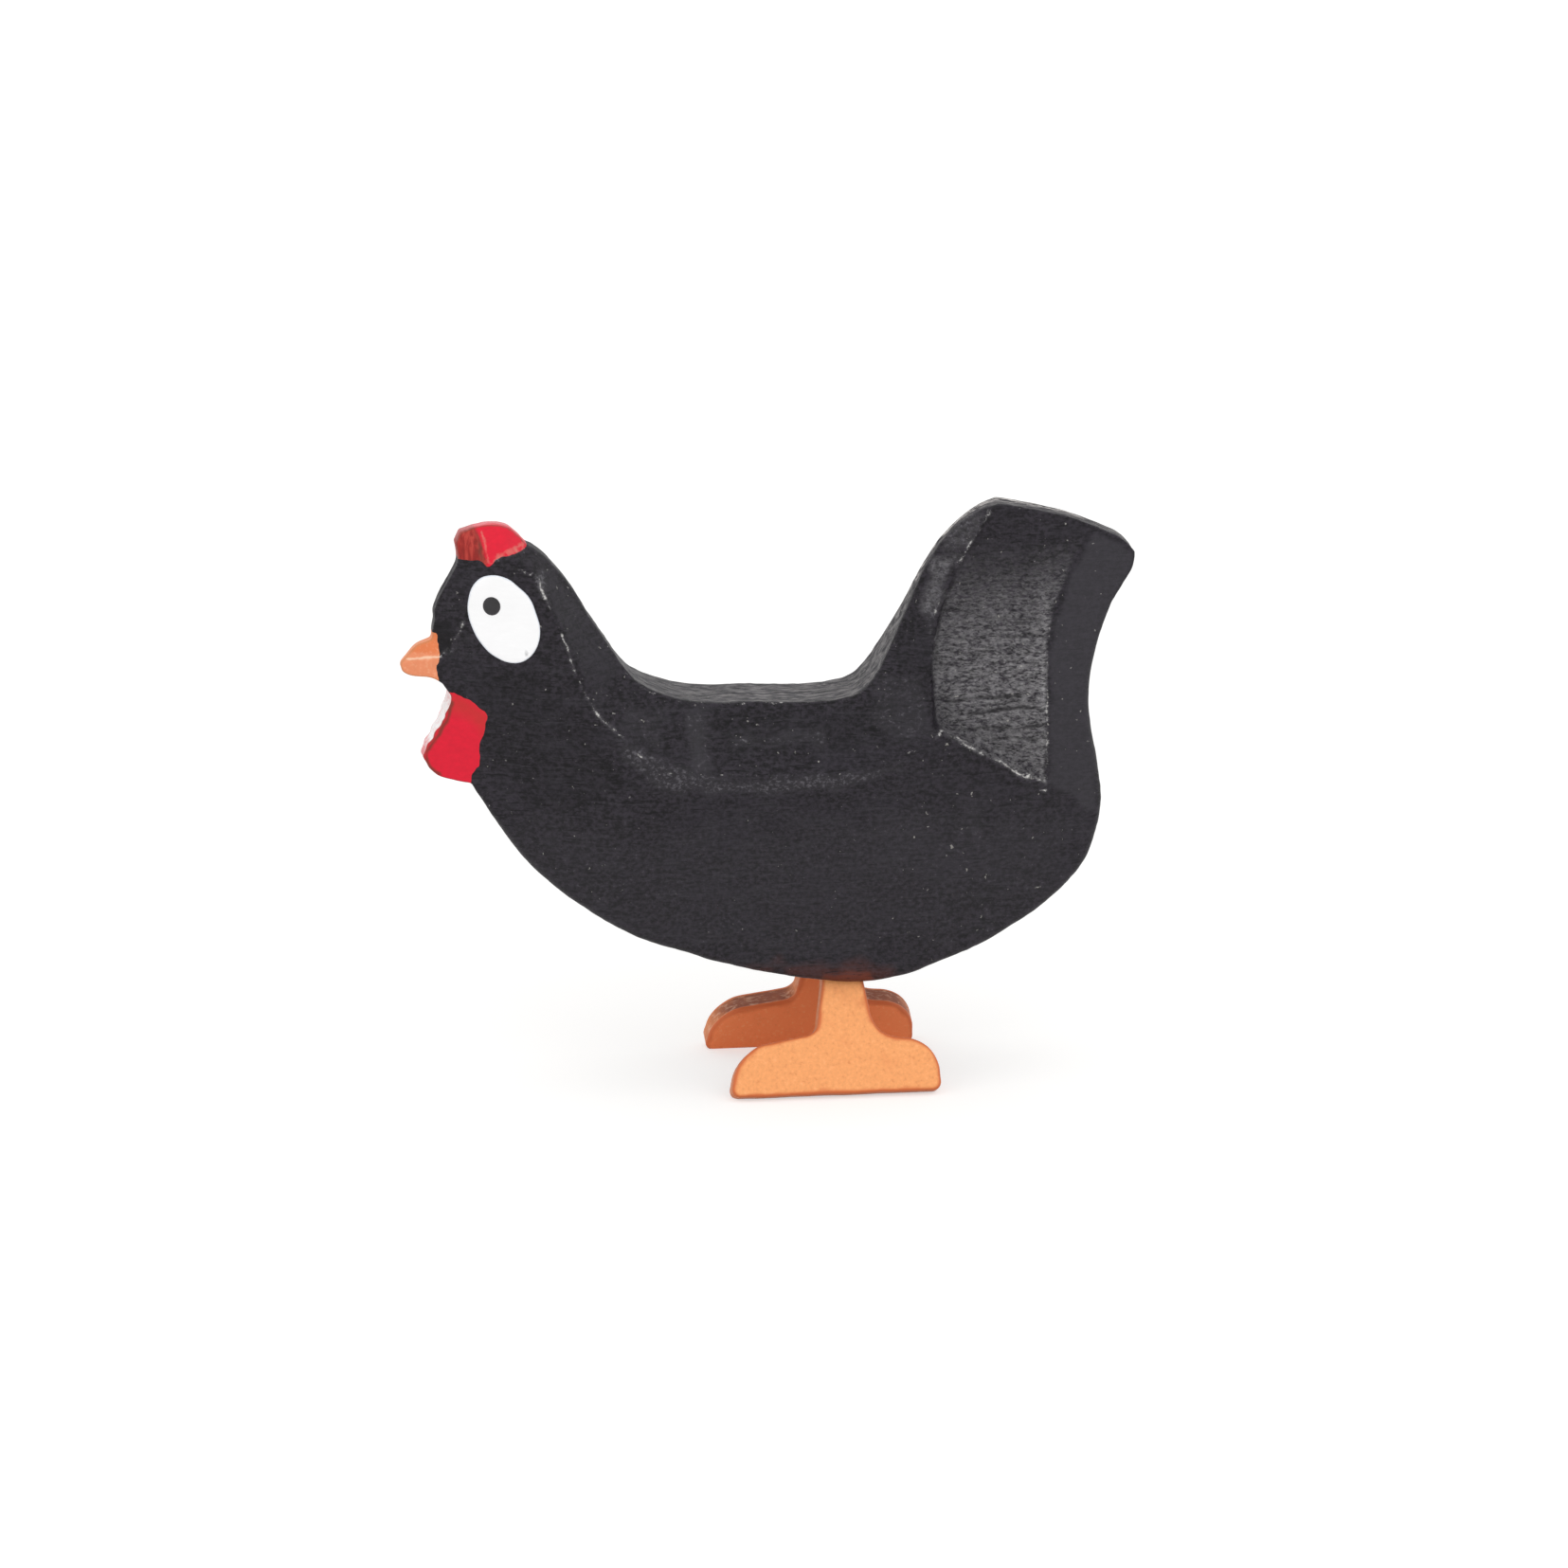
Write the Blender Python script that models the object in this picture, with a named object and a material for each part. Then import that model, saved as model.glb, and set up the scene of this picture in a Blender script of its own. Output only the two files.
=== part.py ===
"""A small wooden hen, sawn from a board, carved with a knife and painted.

The head looks towards -X and the tail points towards +X.  The origin is on the
surface that the hen stands on, below the middle of its length and thickness.
The bird stands on two flat feet, splayed outwards, whose legs are glued into
slanting mortises in the belly.  Lengths in the tables below are millimetres.
"""

import math

import bmesh
import bpy
import numpy as np
from mathutils import Vector
from mathutils.geometry import delaunay_2d_cdt

MM = 0.001

# The board that the bird is sawn from.
BOARD_THICKNESS = 10.0

# Straight steps between two drawn points of a curve, the spacing of the points that
# carry the carved surface, and how near such a point may come to a drawn line.
CURVE_STEPS = 2
SURFACE_SPACING = 1.0
LINE_CLEARANCE = 0.4
WELD = 1e-5

# Gap left between pieces that meet: paint zones at their border, and glued joints.
SEAM_GAP = 0.3
GLUE_GAP = 0.3

# Each rib of the top edge: where the saw line runs (x, z), half the width of the
# sawn edge that the knife leaves, and where the knife facet ends on the side (x, z).
FRONT_RIBS = [
    (-20.9, 24.8, 0.20, -20.7, 24.5),
    (-20.5, 25.3, 0.30, -20.4, 24.9),
    (-20.0, 25.85, 0.35, -19.9, 25.1),
    (-19.5, 26.05, 0.40, -19.35, 25.2),
    (-19.15, 26.25, 0.40, -18.6, 25.4),
    (-19.1, 26.75, 0.45, -17.95, 26.0),
    (-19.0, 27.35, 0.50, -17.7, 26.8),
    (-19.0, 27.9, 0.50, -17.4, 27.5),
    (-18.7, 28.7, 0.50, -17.1, 28.5),
    (-18.3, 29.4, 0.50, -16.8, 29.4),
    (-17.7, 30.6, 0.50, -16.2, 30.4),
    (-17.8, 31.75, 0.55, -15.9, 31.5),
]
BACK_RIBS = [
    (-16.7, 32.6, 0.60, -16.4, 30.85),
    (-15.9, 32.7, 0.62, -15.7, 30.8),
    (-14.9, 32.6, 0.62, -14.9, 30.7),
    (-14.2, 32.0, 0.65, -14.3, 30.5),
    (-13.75, 31.4, 0.70, -13.9, 30.35),
    (-13.4, 31.5, 0.70, -13.6, 30.15),
    (-12.85, 31.05, 0.70, -13.35, 29.9),
    (-12.3, 30.4, 0.70, -13.1, 29.3),
    (-11.3, 29.1, 0.80, -12.6, 28.2),
    (-10.2, 27.3, 0.95, -11.8, 26.4),
    (-9.05, 25.55, 1.35, -11.0, 24.4),
    (-7.9, 23.9, 1.90, -10.0, 22.2),
    (-6.2, 22.97, 2.20, -7.6, 20.2),
    (-4.0, 22.45, 2.20, -4.8, 18.9),
    (-0.3, 22.3, 2.20, -0.3, 18.8),
    (2.5, 22.2, 2.20, 2.9, 18.5),
    (4.1, 22.35, 2.20, 4.8, 18.9),
    (5.2, 22.75, 2.15, 6.9, 19.6),
    (6.1, 23.8, 1.95, 8.4, 20.35),
    (6.4, 24.3, 1.85, 9.2, 20.7),
    (6.7, 24.8, 1.65, 9.5, 21.3),
    (7.2, 25.8, 1.30, 9.3, 22.8),
    (7.92, 27.25, 0.90, 9.15, 25.2),
    (8.7, 28.9, 0.60, 9.8, 27.4),
    (9.7, 30.6, 0.50, 10.9, 29.9),
    (10.9, 31.9, 0.50, 11.8, 31.1),
    (12.0, 32.65, 0.65, 12.4, 32.3),
    (13.1, 33.05, 0.90, 13.0, 32.9),
]

# How the two knife facets run on past the comb's front corner (rib as above).
FRONT_RUN_OUT = (-17.4, 33.4, 0.60, -15.6, 33.4)
BACK_RUN_OUT = (-18.6, 32.6, 0.60, -18.2, 30.9)
COMB_FRONT_TOP = (-17.5, 32.35)

# The rest of the saw line (x, z), which the knife leaves alone.
TAIL_TOP = [(13.1, 33.05), (14.2, 32.9), (16.9, 32.2), (18.5, 31.6), (20.1, 30.85), (20.9, 30.0)]
TAIL_BACK = [
    (20.9, 30.0), (20.7, 29.15), (20.0, 28.1), (19.35, 27.1), (18.5, 25.15), (18.0, 22.9),
    (18.0, 20.7), (18.45, 18.0), (18.55, 15.55), (17.6, 12.8), (15.45, 10.6), (12.2, 8.6),
    (9.75, 7.6), (6.8, 6.62), (4.0, 6.42), (0.7, 6.87), (-2.5, 7.62), (-5.85, 8.68),
    (-8.65, 9.8), (-11.75, 11.65), (-13.7, 13.25), (-15.4, 15.35), (-17.1, 18.0),
]
WATTLE_EDGE = [
    (-17.1, 18.0), (-17.95, 18.15), (-18.85, 18.35), (-19.5, 18.9), (-19.65, 19.6),
    (-19.2, 20.55), (-18.75, 21.2), (-18.3, 22.2), (-18.2, 23.0), (-18.6, 23.7),
]
BEAK_UNDER = [(-18.6, 23.7), (-19.2, 24.05), (-20.1, 24.1), (-20.7, 24.3), (-20.9, 24.8)]

# The front tapers in plan: half thickness at the beak end, at the wattle, and how
# fast it grows behind the wattle.
BEAK_END_X = -21.5
BEAK_END_HALF = 0.2
WATTLE_X = -18.8
WATTLE_HALF = 0.9
FRONT_TAPER = 0.42

# The neck facet: a point of it, its half thickness there, its rise towards the tail
# and its fall towards the comb, and its lower end on the side (x, z).
NECK_POINT = (-12.6, 16.9)
NECK_HALF = 3.5
NECK_RISE = 0.334
NECK_FALL = 0.062
NECK_LOWER_END = [(-18.7, 24.0), (-14.4, 16.7), (-12.0, 16.4), (-8.4, 18.2), (-4.0, 19.6)]
NECK_UPPER_END = [(-4.0, 36.0), (-18.7, 36.0)]

# The tail thins towards its top edge: the edge's line, and the half thickness on it.
TAIL_LINE_START = (13.2, 33.1)
TAIL_LINE_END = (20.4, 30.5)
TAIL_TOP_HALF = 0.95
TAIL_THINNING = 0.335
TAIL_FRONT_X = 5.0

# The rump thins a little towards the rear.
RUMP_START_X = 11.0
RUMP_TAPER = 0.12

# The hollow cut into each side of the tail, drawn on the side (x, z): its front,
# its top, its rear wall and its bottom ledge, and the plane of its floor.
HOLLOW_FRONT = [(9.5, 20.75), (9.2, 22.3), (8.6, 25.0), (9.0, 28.0), (10.2, 31.0)]
HOLLOW_TOP = [(12.5, 34.2), (18.0, 32.4)]
HOLLOW_REAR = [(16.9, 29.0), (15.85, 25.6), (15.45, 21.8), (15.35, 17.6)]
HOLLOW_LEDGE = [(14.2, 18.1), (12.9, 18.9), (11.1, 19.8)]
HOLLOW_HALF = 3.2
HOLLOW_SLOPE_X = 0.12
HOLLOW_SLOPE_Z = -0.205

# How steeply the end of a scooped facet climbs back to the side, and how wide the
# climb is on the side.
SCOOP_WALL = 1.8
SCOOP_WALL_WIDTH = 0.6

# The worn lower edge.
LOWER_EDGE_SOFTENING = 0.5

# Paint zones on the carved wood, drawn on the side (x, z).
COMB_BORDER = [(-19.5, 30.55), (-16.1, 30.75), (-14.0, 31.2), (-13.75, 31.35), (-13.4, 32.3)]
COMB_ZONE_TOP = 34.0
BEAK_BORDER = [(-19.8, 26.75), (-18.5, 26.75), (-18.6, 25.3), (-18.6, 23.7)]
BEAK_ZONE_FRONT = -22.5
WATTLE_BORDER = [
    (-18.1, 23.25), (-17.3, 22.95), (-16.7, 22.55), (-16.25, 22.0), (-16.3, 21.1),
    (-16.7, 20.3), (-16.6, 19.2), (-17.05, 18.6), (-17.1, 17.4),
]
WATTLE_ZONE_FRONT = -21.0

# The eyes: a coat of white in a leaning oval, and a black dot on it.
EYE_CENTRE = (-15.3, 27.7)
EYE_HALF_LENGTH = 2.65
EYE_HALF_WIDTH = 1.83
EYE_LEAN_DEG = 23.5
PUPIL_CENTRE = (-15.9, 28.35)
PUPIL_RADIUS = 0.5
COAT_THICKNESS = 0.15
COAT_GAP = 0.1
EYE_SIDES = 40
PUPIL_SIDES = 20

# The feet: flat plates that lean inwards at the top, each with a leg that ends in a
# tenon.  Their outline is drawn in the plate, x from the leg's middle, height from
# the sole, with the corner's radius.  The inner edge of each sole is worn flat.
FOOT_THICKNESS = 1.5
FOOT_LEAN_DEG = 22.0
SOLE_HALF_SPREAD = 5.03
SOLE_WEAR = 0.2
LEG_X = 3.6
LEG_FRONT = -1.0
LEG_REAR = 1.37
LEG_FOOT_HEIGHT = 6.4
FRONT_TOE = (-5.9, 2.75, 2.6)
FRONT_SOLE = (-6.6, 0.0, 0.5)
REAR_SOLE = (5.58, 0.0, 0.5)
REAR_TOE = (5.33, 2.9, 2.1)
REAR_INSTEP = (1.86, 3.25, 1.7)
FRONT_INSTEP = (-1.45, 3.5, 0.75)
TENON_TOP_Z = 9.6
ARC_STEPS = 7

# Paint colours, roughness of the dried coats.
BLACK = (0.022, 0.021, 0.024)
RED = (0.74, 0.022, 0.045)
ORANGE = (0.86, 0.33, 0.12)
WHITE = (0.88, 0.88, 0.86)
SATIN = 0.45
GLOSSY = 0.3
MATT = 0.65


def clear_scene():
    """Remove every object that the file opened with."""
    for old in list(bpy.data.objects):
        bpy.data.objects.remove(old, do_unlink=True)


def paint(name, colour, roughness):
    """A painted finish."""
    material = bpy.data.materials.new(name)
    material.use_nodes = True
    shader = material.node_tree.nodes["Principled BSDF"]
    shader.inputs["Base Color"].default_value = (*colour, 1.0)
    shader.inputs["Roughness"].default_value = roughness
    shader.inputs["Metallic"].default_value = 0.0
    material.diffuse_color = (*colour, 1.0)
    return material


def smooth_run(points, steps):
    """A Catmull-Rom curve through points of any dimension."""
    padded = [points[0]] + list(points) + [points[-1]]
    run = []
    for before, start, end, after in zip(padded, padded[1:], padded[2:], padded[3:]):
        for step in range(steps):
            t = step / steps
            run.append(tuple(
                0.5 * (2 * p1 + (p2 - p0) * t
                       + (2 * p0 - 5 * p1 + 4 * p2 - p3) * t ** 2
                       + (3 * p1 - p0 - 3 * p2 + p3) * t ** 3)
                for p0, p1, p2, p3 in zip(before, start, end, after)
            ))
    run.append(tuple(points[-1]))
    return run


def joined_runs(runs):
    """Runs end to end, with the point that two of them share kept once."""
    whole = list(runs[0])
    for run in runs[1:]:
        whole.extend(run[1:])
    return whole


def from_line(points, line):
    """For each point, its distance from a line, and the line's nearest station."""
    points = np.asarray(points, dtype=float)
    line = np.asarray(line, dtype=float)
    starts = line[:-1]
    runs = line[1:] - starts
    offsets = points[:, None, :] - starts[None, :, :2]
    lengths = (runs[:, :2] ** 2).sum(axis=1)
    shares = ((offsets * runs[None, :, :2]).sum(axis=2) / lengths).clip(0.0, 1.0)
    gaps = np.linalg.norm(offsets - shares[:, :, None] * runs[None, :, :2], axis=2)
    nearest = gaps.argmin(axis=1)
    rows = np.arange(len(points))
    stations = starts[nearest] + shares[rows, nearest][:, None] * runs[nearest]
    return gaps[rows, nearest], stations


def inside(points, outline):
    """Which points lie inside a closed outline."""
    points = np.asarray(points, dtype=float)
    corners = np.asarray(outline, dtype=float)
    x, z = points[:, 0], points[:, 1]
    odd = np.zeros(len(points), dtype=bool)
    for (x0, z0), (x1, z1) in zip(np.roll(corners, 1, axis=0), corners):
        if z0 == z1:
            continue
        crossing = (z0 > z) != (z1 > z)
        odd ^= crossing & (x < x0 + (z - z0) * (x1 - x0) / (z1 - z0))
    return odd


def outside_distance(points, outline):
    """Distance of each point from a closed outline, zero inside it."""
    distance, _ = from_line(points, list(outline) + [outline[0]])
    return np.where(inside(points, outline), 0.0, distance)


def front_half(x):
    """Half thickness that the front's taper leaves, in plan."""
    beak_taper = (WATTLE_HALF - BEAK_END_HALF) / (WATTLE_X - BEAK_END_X)
    return WATTLE_HALF + np.where(x > WATTLE_X, FRONT_TAPER, beak_taper) * (x - WATTLE_X)


def neck_half(x, z):
    return NECK_HALF + NECK_RISE * (x - NECK_POINT[0]) - NECK_FALL * (z - NECK_POINT[1])


def neck_region():
    return NECK_LOWER_END + NECK_UPPER_END


def tail_half(x, z):
    """Half thickness of the tail, which grows with the distance below its top edge."""
    start = np.array(TAIL_LINE_START)
    along = np.array(TAIL_LINE_END) - start
    along = along / np.linalg.norm(along)
    below = (x - start[0]) * along[1] - (z - start[1]) * along[0]
    return TAIL_TOP_HALF + TAIL_THINNING * below


def rump_half(x):
    return BOARD_THICKNESS / 2 - RUMP_TAPER * (x - RUMP_START_X)


def hollow_half(x, z):
    corner_x, corner_z = HOLLOW_FRONT[0]
    return HOLLOW_HALF + HOLLOW_SLOPE_X * (x - corner_x) + HOLLOW_SLOPE_Z * (z - corner_z)


def hollow_region():
    return HOLLOW_FRONT + HOLLOW_TOP + HOLLOW_REAR + HOLLOW_LEDGE


def side_half(points):
    """Half thickness of the bird at points of its side, before its edges are cut."""
    points = np.asarray(points, dtype=float)
    x, z = points[:, 0], points[:, 1]
    half = np.minimum(front_half(x), rump_half(x))
    half = np.minimum(half, BOARD_THICKNESS / 2)
    half = np.minimum(half, neck_half(x, z) + SCOOP_WALL * outside_distance(points, neck_region()))
    half = np.where(x > TAIL_FRONT_X, np.minimum(half, tail_half(x, z)), half)
    scoop = hollow_half(x, z) + SCOOP_WALL * outside_distance(points, hollow_region())
    return np.minimum(half, scoop)


def facet_line(ribs, before, after):
    """An edge with the half width and the slope of the knife facet along it."""
    run = np.array(before + smooth_run(ribs, CURVE_STEPS) + after)
    ends = run[:, 3:5]
    reach, _ = from_line(ends, run[:, :2])
    slope = (side_half(ends) - run[:, 2]) / reach
    return np.column_stack([run[:, :3], slope])


def facet_half(points, line):
    """Half thickness under the knife facet of an edge."""
    distance, stations = from_line(points, line)
    return stations[:, 2] + stations[:, 3] * distance


def carved_half(points):
    """Half thickness of the carved bird at points of its side."""
    half = side_half(points)
    softened, _ = from_line(points, smooth_run(TAIL_BACK, CURVE_STEPS))
    softening = np.minimum(LOWER_EDGE_SOFTENING, half / 2)
    half = half - (softening - softened).clip(0.0)
    half = np.minimum(half, facet_half(points, facet_line(FRONT_RIBS, [], [FRONT_RUN_OUT])))
    return np.minimum(half, facet_half(points, facet_line(BACK_RIBS, [BACK_RUN_OUT], [])))


def new_object(name, mesh, material=None):
    thing = bpy.data.objects.new(name, mesh)
    bpy.context.collection.objects.link(thing)
    if material is not None:
        mesh.materials.append(material)
    return thing


def closed_mesh(name, shells):
    """A mesh of closed shells; a shell is a list of equal sections, capped at its ends."""
    work = bmesh.new()
    for sections in shells:
        rings = [[work.verts.new(Vector(point) * MM) for point in section]
                 for section in sections]
        count = len(rings[0])
        work.faces.new(rings[0])
        work.faces.new(list(reversed(rings[-1])))
        for ring, following in zip(rings, rings[1:]):
            for index in range(count):
                after = (index + 1) % count
                work.faces.new((ring[index], following[index], following[after], ring[after]))
    bent = [face for face in work.faces if len(face.verts) == 4]
    bmesh.ops.triangulate(work, faces=bent)
    bmesh.ops.recalc_face_normals(work, faces=work.faces)
    mesh = bpy.data.meshes.new(name)
    work.to_mesh(mesh)
    work.free()
    return mesh


def grown(outline, distance):
    """A closed outline moved outwards by a distance."""
    count = len(outline)
    area = sum(outline[i][0] * outline[(i + 1) % count][1]
               - outline[(i + 1) % count][0] * outline[i][1] for i in range(count))
    turn = 1.0 if area > 0 else -1.0
    moved = []
    for index, point in enumerate(outline):
        here = Vector(point)
        into = (here - Vector(outline[index - 1])).normalized()
        out_of = (Vector(outline[(index + 1) % count]) - here).normalized()
        normal_in = Vector((into.y, -into.x)) * turn
        normal_out = Vector((out_of.y, -out_of.x)) * turn
        mitre = (normal_in + normal_out).normalized()
        moved.append(tuple(here + mitre * distance / max(mitre.dot(normal_in), 0.5)))
    return moved


def comb_zone():
    (first_x, _), (last_x, _) = COMB_BORDER[0], COMB_BORDER[-1]
    return COMB_BORDER + [(last_x, COMB_ZONE_TOP), (first_x, COMB_ZONE_TOP)]


def beak_zone():
    return BEAK_BORDER + [(BEAK_ZONE_FRONT, BEAK_BORDER[-1][1]), (BEAK_ZONE_FRONT, BEAK_BORDER[0][1])]


def wattle_zone():
    return WATTLE_BORDER + [
        (WATTLE_ZONE_FRONT, WATTLE_BORDER[-1][1]),
        (WATTLE_ZONE_FRONT, WATTLE_BORDER[0][1]),
    ]


def saw_outline():
    """The whole saw line of the bird, once round."""
    front = [rib[:2] for rib in smooth_run(FRONT_RIBS, CURVE_STEPS)]
    back = [rib[:2] for rib in smooth_run(BACK_RIBS, CURVE_STEPS)]
    rest = [smooth_run(points, CURVE_STEPS)
            for points in (TAIL_TOP, TAIL_BACK, WATTLE_EDGE, BEAK_UNDER)]
    return joined_runs([front + [COMB_FRONT_TOP] + back] + rest)[:-1]


def offset_line(line, distance):
    """An open line moved to its right by a distance."""
    points = [Vector(point) for point in line]
    moved = []
    for before, here, after in zip([points[0]] + points[:-1], points, points[1:] + [points[-1]]):
        along = (after - before).normalized()
        moved.append(tuple(here + Vector((along.y, -along.x)) * distance))
    return moved


def drawn_lines():
    """Lines of the side that the carved surface has an edge along."""
    lines = [[rib[3:5] for rib in smooth_run(ribs, CURVE_STEPS)] for ribs in (FRONT_RIBS, BACK_RIBS)]
    lines.append(offset_line(smooth_run(TAIL_BACK, CURVE_STEPS), LOWER_EDGE_SOFTENING))
    lines.append(NECK_LOWER_END)
    lines.append(hollow_region() + HOLLOW_FRONT[:1])
    climb = grown(hollow_region(), SCOOP_WALL_WIDTH)
    lines.append(climb + climb[:1])
    for zone in (comb_zone(), beak_zone(), wattle_zone()):
        lines.append(zone + zone[:1])
        apart = grown(zone, SEAM_GAP)
        lines.append(apart + apart[:1])
    return lines


def side_triangles():
    """The bird's side, divided into triangles along the drawn lines."""
    outline = saw_outline()
    lines = [outline + outline[:1]] + drawn_lines()
    points = [point for line in lines for point in line]
    edges = []
    first = 0
    for line in lines:
        edges.extend((first + index, first + index + 1) for index in range(len(line) - 1))
        first += len(line)
    low = np.min(outline, axis=0)
    high = np.max(outline, axis=0)
    grid = [(x, z) for x in np.arange(low[0], high[0], SURFACE_SPACING)
            for z in np.arange(low[1], high[1], SURFACE_SPACING)]
    clear = inside(grid, outline)
    for line in lines:
        clear &= from_line(grid, line)[0] > LINE_CLEARANCE
    points.extend(point for point, kept in zip(grid, clear) if kept)
    found = delaunay_2d_cdt([Vector(point) for point in points], edges, [], 0, WELD)
    corners = np.array([tuple(vertex) for vertex in found[0]])
    triangles = np.array([tuple(face) for face in found[2]])
    middles = corners[triangles].mean(axis=1)
    kept = inside(middles, outline)
    return corners, triangles[kept], middles[kept]


def carved_mesh(name, corners, triangles):
    """A closed mesh over triangles of the side, as thick as the carving leaves it."""
    used = sorted(set(triangles.ravel().tolist()))
    halves = carved_half(corners[used])
    work = bmesh.new()
    near = {}
    far = {}
    for index, half in zip(used, halves):
        x, z = corners[index]
        near[index] = work.verts.new(Vector((x, -half, z)) * MM)
        far[index] = work.verts.new(Vector((x, half, z)) * MM)
    rims = {}
    for triangle in triangles.tolist():
        work.faces.new([near[index] for index in triangle])
        work.faces.new([far[index] for index in reversed(triangle)])
        for start, end in zip(triangle, triangle[1:] + triangle[:1]):
            if (end, start) in rims:
                del rims[(end, start)]
            else:
                rims[(start, end)] = True
    for start, end in rims:
        work.faces.new((near[end], near[start], far[start], far[end]))
    bmesh.ops.recalc_face_normals(work, faces=work.faces)
    mesh = bpy.data.meshes.new(name)
    work.to_mesh(mesh)
    work.free()
    return mesh


def foot_outline():
    """Corners of the foot plate with their radii, once round from the front toe's sole."""
    top = TENON_TOP_Z / math.cos(math.radians(FOOT_LEAN_DEG))
    return [
        FRONT_SOLE,
        REAR_SOLE,
        REAR_TOE,
        REAR_INSTEP,
        (LEG_REAR, LEG_FOOT_HEIGHT, 0.0),
        (LEG_REAR, top, 0.0),
        (LEG_FRONT, top, 0.0),
        (LEG_FRONT, LEG_FOOT_HEIGHT, 0.0),
        FRONT_INSTEP,
        FRONT_TOE,
    ]


def rounded(corners):
    """A closed outline whose corners are arcs of the given radii."""
    points = []
    count = len(corners)
    for index, (x, y, radius) in enumerate(corners):
        here = Vector((x, y))
        before = (Vector(corners[index - 1][:2]) - here).normalized()
        after = (Vector(corners[(index + 1) % count][:2]) - here).normalized()
        if radius <= 0.0:
            points.append((x, y))
            continue
        half_angle = before.angle(after) / 2
        reach = radius / math.tan(half_angle)
        centre = here + (before + after).normalized() * radius / math.sin(half_angle)
        start = here + before * reach - centre
        end = here + after * reach - centre
        sweep = start.angle_signed(end)
        for step in range(ARC_STEPS + 1):
            angle = -sweep * step / ARC_STEPS
            turned = Vector((
                start.x * math.cos(angle) - start.y * math.sin(angle),
                start.x * math.sin(angle) + start.y * math.cos(angle),
            ))
            points.append(tuple(centre + turned))
    return points


def leaning(points, inner, outer, side):
    """Sections of a plate drawn in its own plane, from its inner to its outer face.

    The plate leans inwards at the top, and its inner lower edge is below the ground
    by what is worn off.
    """
    lean = math.radians(FOOT_LEAN_DEG)
    sections = []
    for depth in (inner, outer):
        foot_y = SOLE_HALF_SPREAD + depth * math.cos(lean)
        foot_z = depth * math.sin(lean) - SOLE_WEAR
        sections.append([
            (LEG_X + x, side * (foot_y - height * math.sin(lean)), foot_z + height * math.cos(lean))
            for x, height in points
        ])
    return sections


def foot(name, side, material):
    """A foot, with what lies below the ground worn off."""
    mesh = closed_mesh(name, [leaning(rounded(foot_outline()), 0.0, FOOT_THICKNESS, side)])
    work = bmesh.new()
    work.from_mesh(mesh)
    everything = list(work.verts) + list(work.edges) + list(work.faces)
    worn = bmesh.ops.bisect_plane(work, geom=everything, plane_co=(0, 0, 0), plane_no=(0, 0, 1),
                                  clear_inner=True)
    cut = [item for item in worn["geom_cut"] if isinstance(item, bmesh.types.BMEdge)]
    bmesh.ops.holes_fill(work, edges=cut, sides=0)
    bmesh.ops.recalc_face_normals(work, faces=work.faces)
    work.to_mesh(mesh)
    work.free()
    return new_object(name, mesh, material)


def mortise_tool():
    """The two slanting mortises, which the tenons enter with the glue gap round them."""
    lean = math.radians(FOOT_LEAN_DEG)
    front = LEG_FRONT - GLUE_GAP
    rear = LEG_REAR + GLUE_GAP
    low = FRONT_INSTEP[1]
    high = TENON_TOP_Z / math.cos(lean) + GLUE_GAP
    outline = [(front, low), (rear, low), (rear, high), (front, high)]
    shells = [leaning(outline, -GLUE_GAP, FOOT_THICKNESS + GLUE_GAP, side) for side in (-1, 1)]
    mortises = new_object("mortises", closed_mesh("mortises", shells))
    mortises.hide_render = True
    mortises.display_type = "WIRE"
    return mortises


def oval_point(centre, half_length, half_width, lean, angle):
    """A point of an oval whose top leans towards the beak."""
    across = half_width * math.cos(angle)
    along = half_length * math.sin(angle)
    return (
        centre[0] + across * math.cos(lean) - along * math.sin(lean),
        centre[1] + across * math.sin(lean) + along * math.cos(lean),
    )


def coat(name, side, outline, lift, material):
    """A thin coat of paint that follows the side of the head."""
    sections = []
    for height in (lift, lift + COAT_THICKNESS):
        sections.append([(x, side * (neck_half(x, z) + height), z) for x, z in outline])
    return new_object(name, closed_mesh(name, [sections]), material)


def build_eyes(white, black):
    lean = math.radians(EYE_LEAN_DEG)
    turn = 2 * math.pi
    oval = [oval_point(EYE_CENTRE, EYE_HALF_LENGTH, EYE_HALF_WIDTH, lean, turn * step / EYE_SIDES)
            for step in range(EYE_SIDES)]
    dot = [oval_point(PUPIL_CENTRE, PUPIL_RADIUS, PUPIL_RADIUS, 0.0, turn * step / PUPIL_SIDES)
           for step in range(PUPIL_SIDES)]
    for side, hand in ((-1, "left"), (1, "right")):
        coat("eye_" + hand, side, oval, COAT_GAP, white)
        coat("pupil_" + hand, side, dot, 2 * COAT_GAP + COAT_THICKNESS, black)


def build_bird(black, red, orange):
    """The carved bird and its painted parts, which meet at the seams."""
    corners, triangles, middles = side_triangles()
    rest = np.ones(len(triangles), dtype=bool)
    zones = (("comb", comb_zone(), red), ("beak", beak_zone(), orange), ("wattle", wattle_zone(), red))
    for name, zone, colour in zones:
        painted = inside(middles, zone)
        new_object(name, carved_mesh(name, corners, triangles[painted]), colour)
        rest &= ~inside(middles, grown(zone, SEAM_GAP))
    body = new_object("body", carved_mesh("body", corners, triangles[rest]), black)
    modifier = body.modifiers.new("mortises", "BOOLEAN")
    modifier.operation = "DIFFERENCE"
    modifier.solver = "EXACT"
    modifier.object = mortise_tool()


def main():
    clear_scene()
    black = paint("black_paint", BLACK, SATIN)
    red = paint("red_paint", RED, SATIN)
    orange = paint("orange_paint", ORANGE, MATT)
    white = paint("white_paint", WHITE, GLOSSY)
    pupil = paint("black_gloss_paint", BLACK, GLOSSY)
    build_bird(black, red, orange)
    build_eyes(white, pupil)
    foot("foot_left", -1, orange)
    foot("foot_right", 1, orange)


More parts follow.
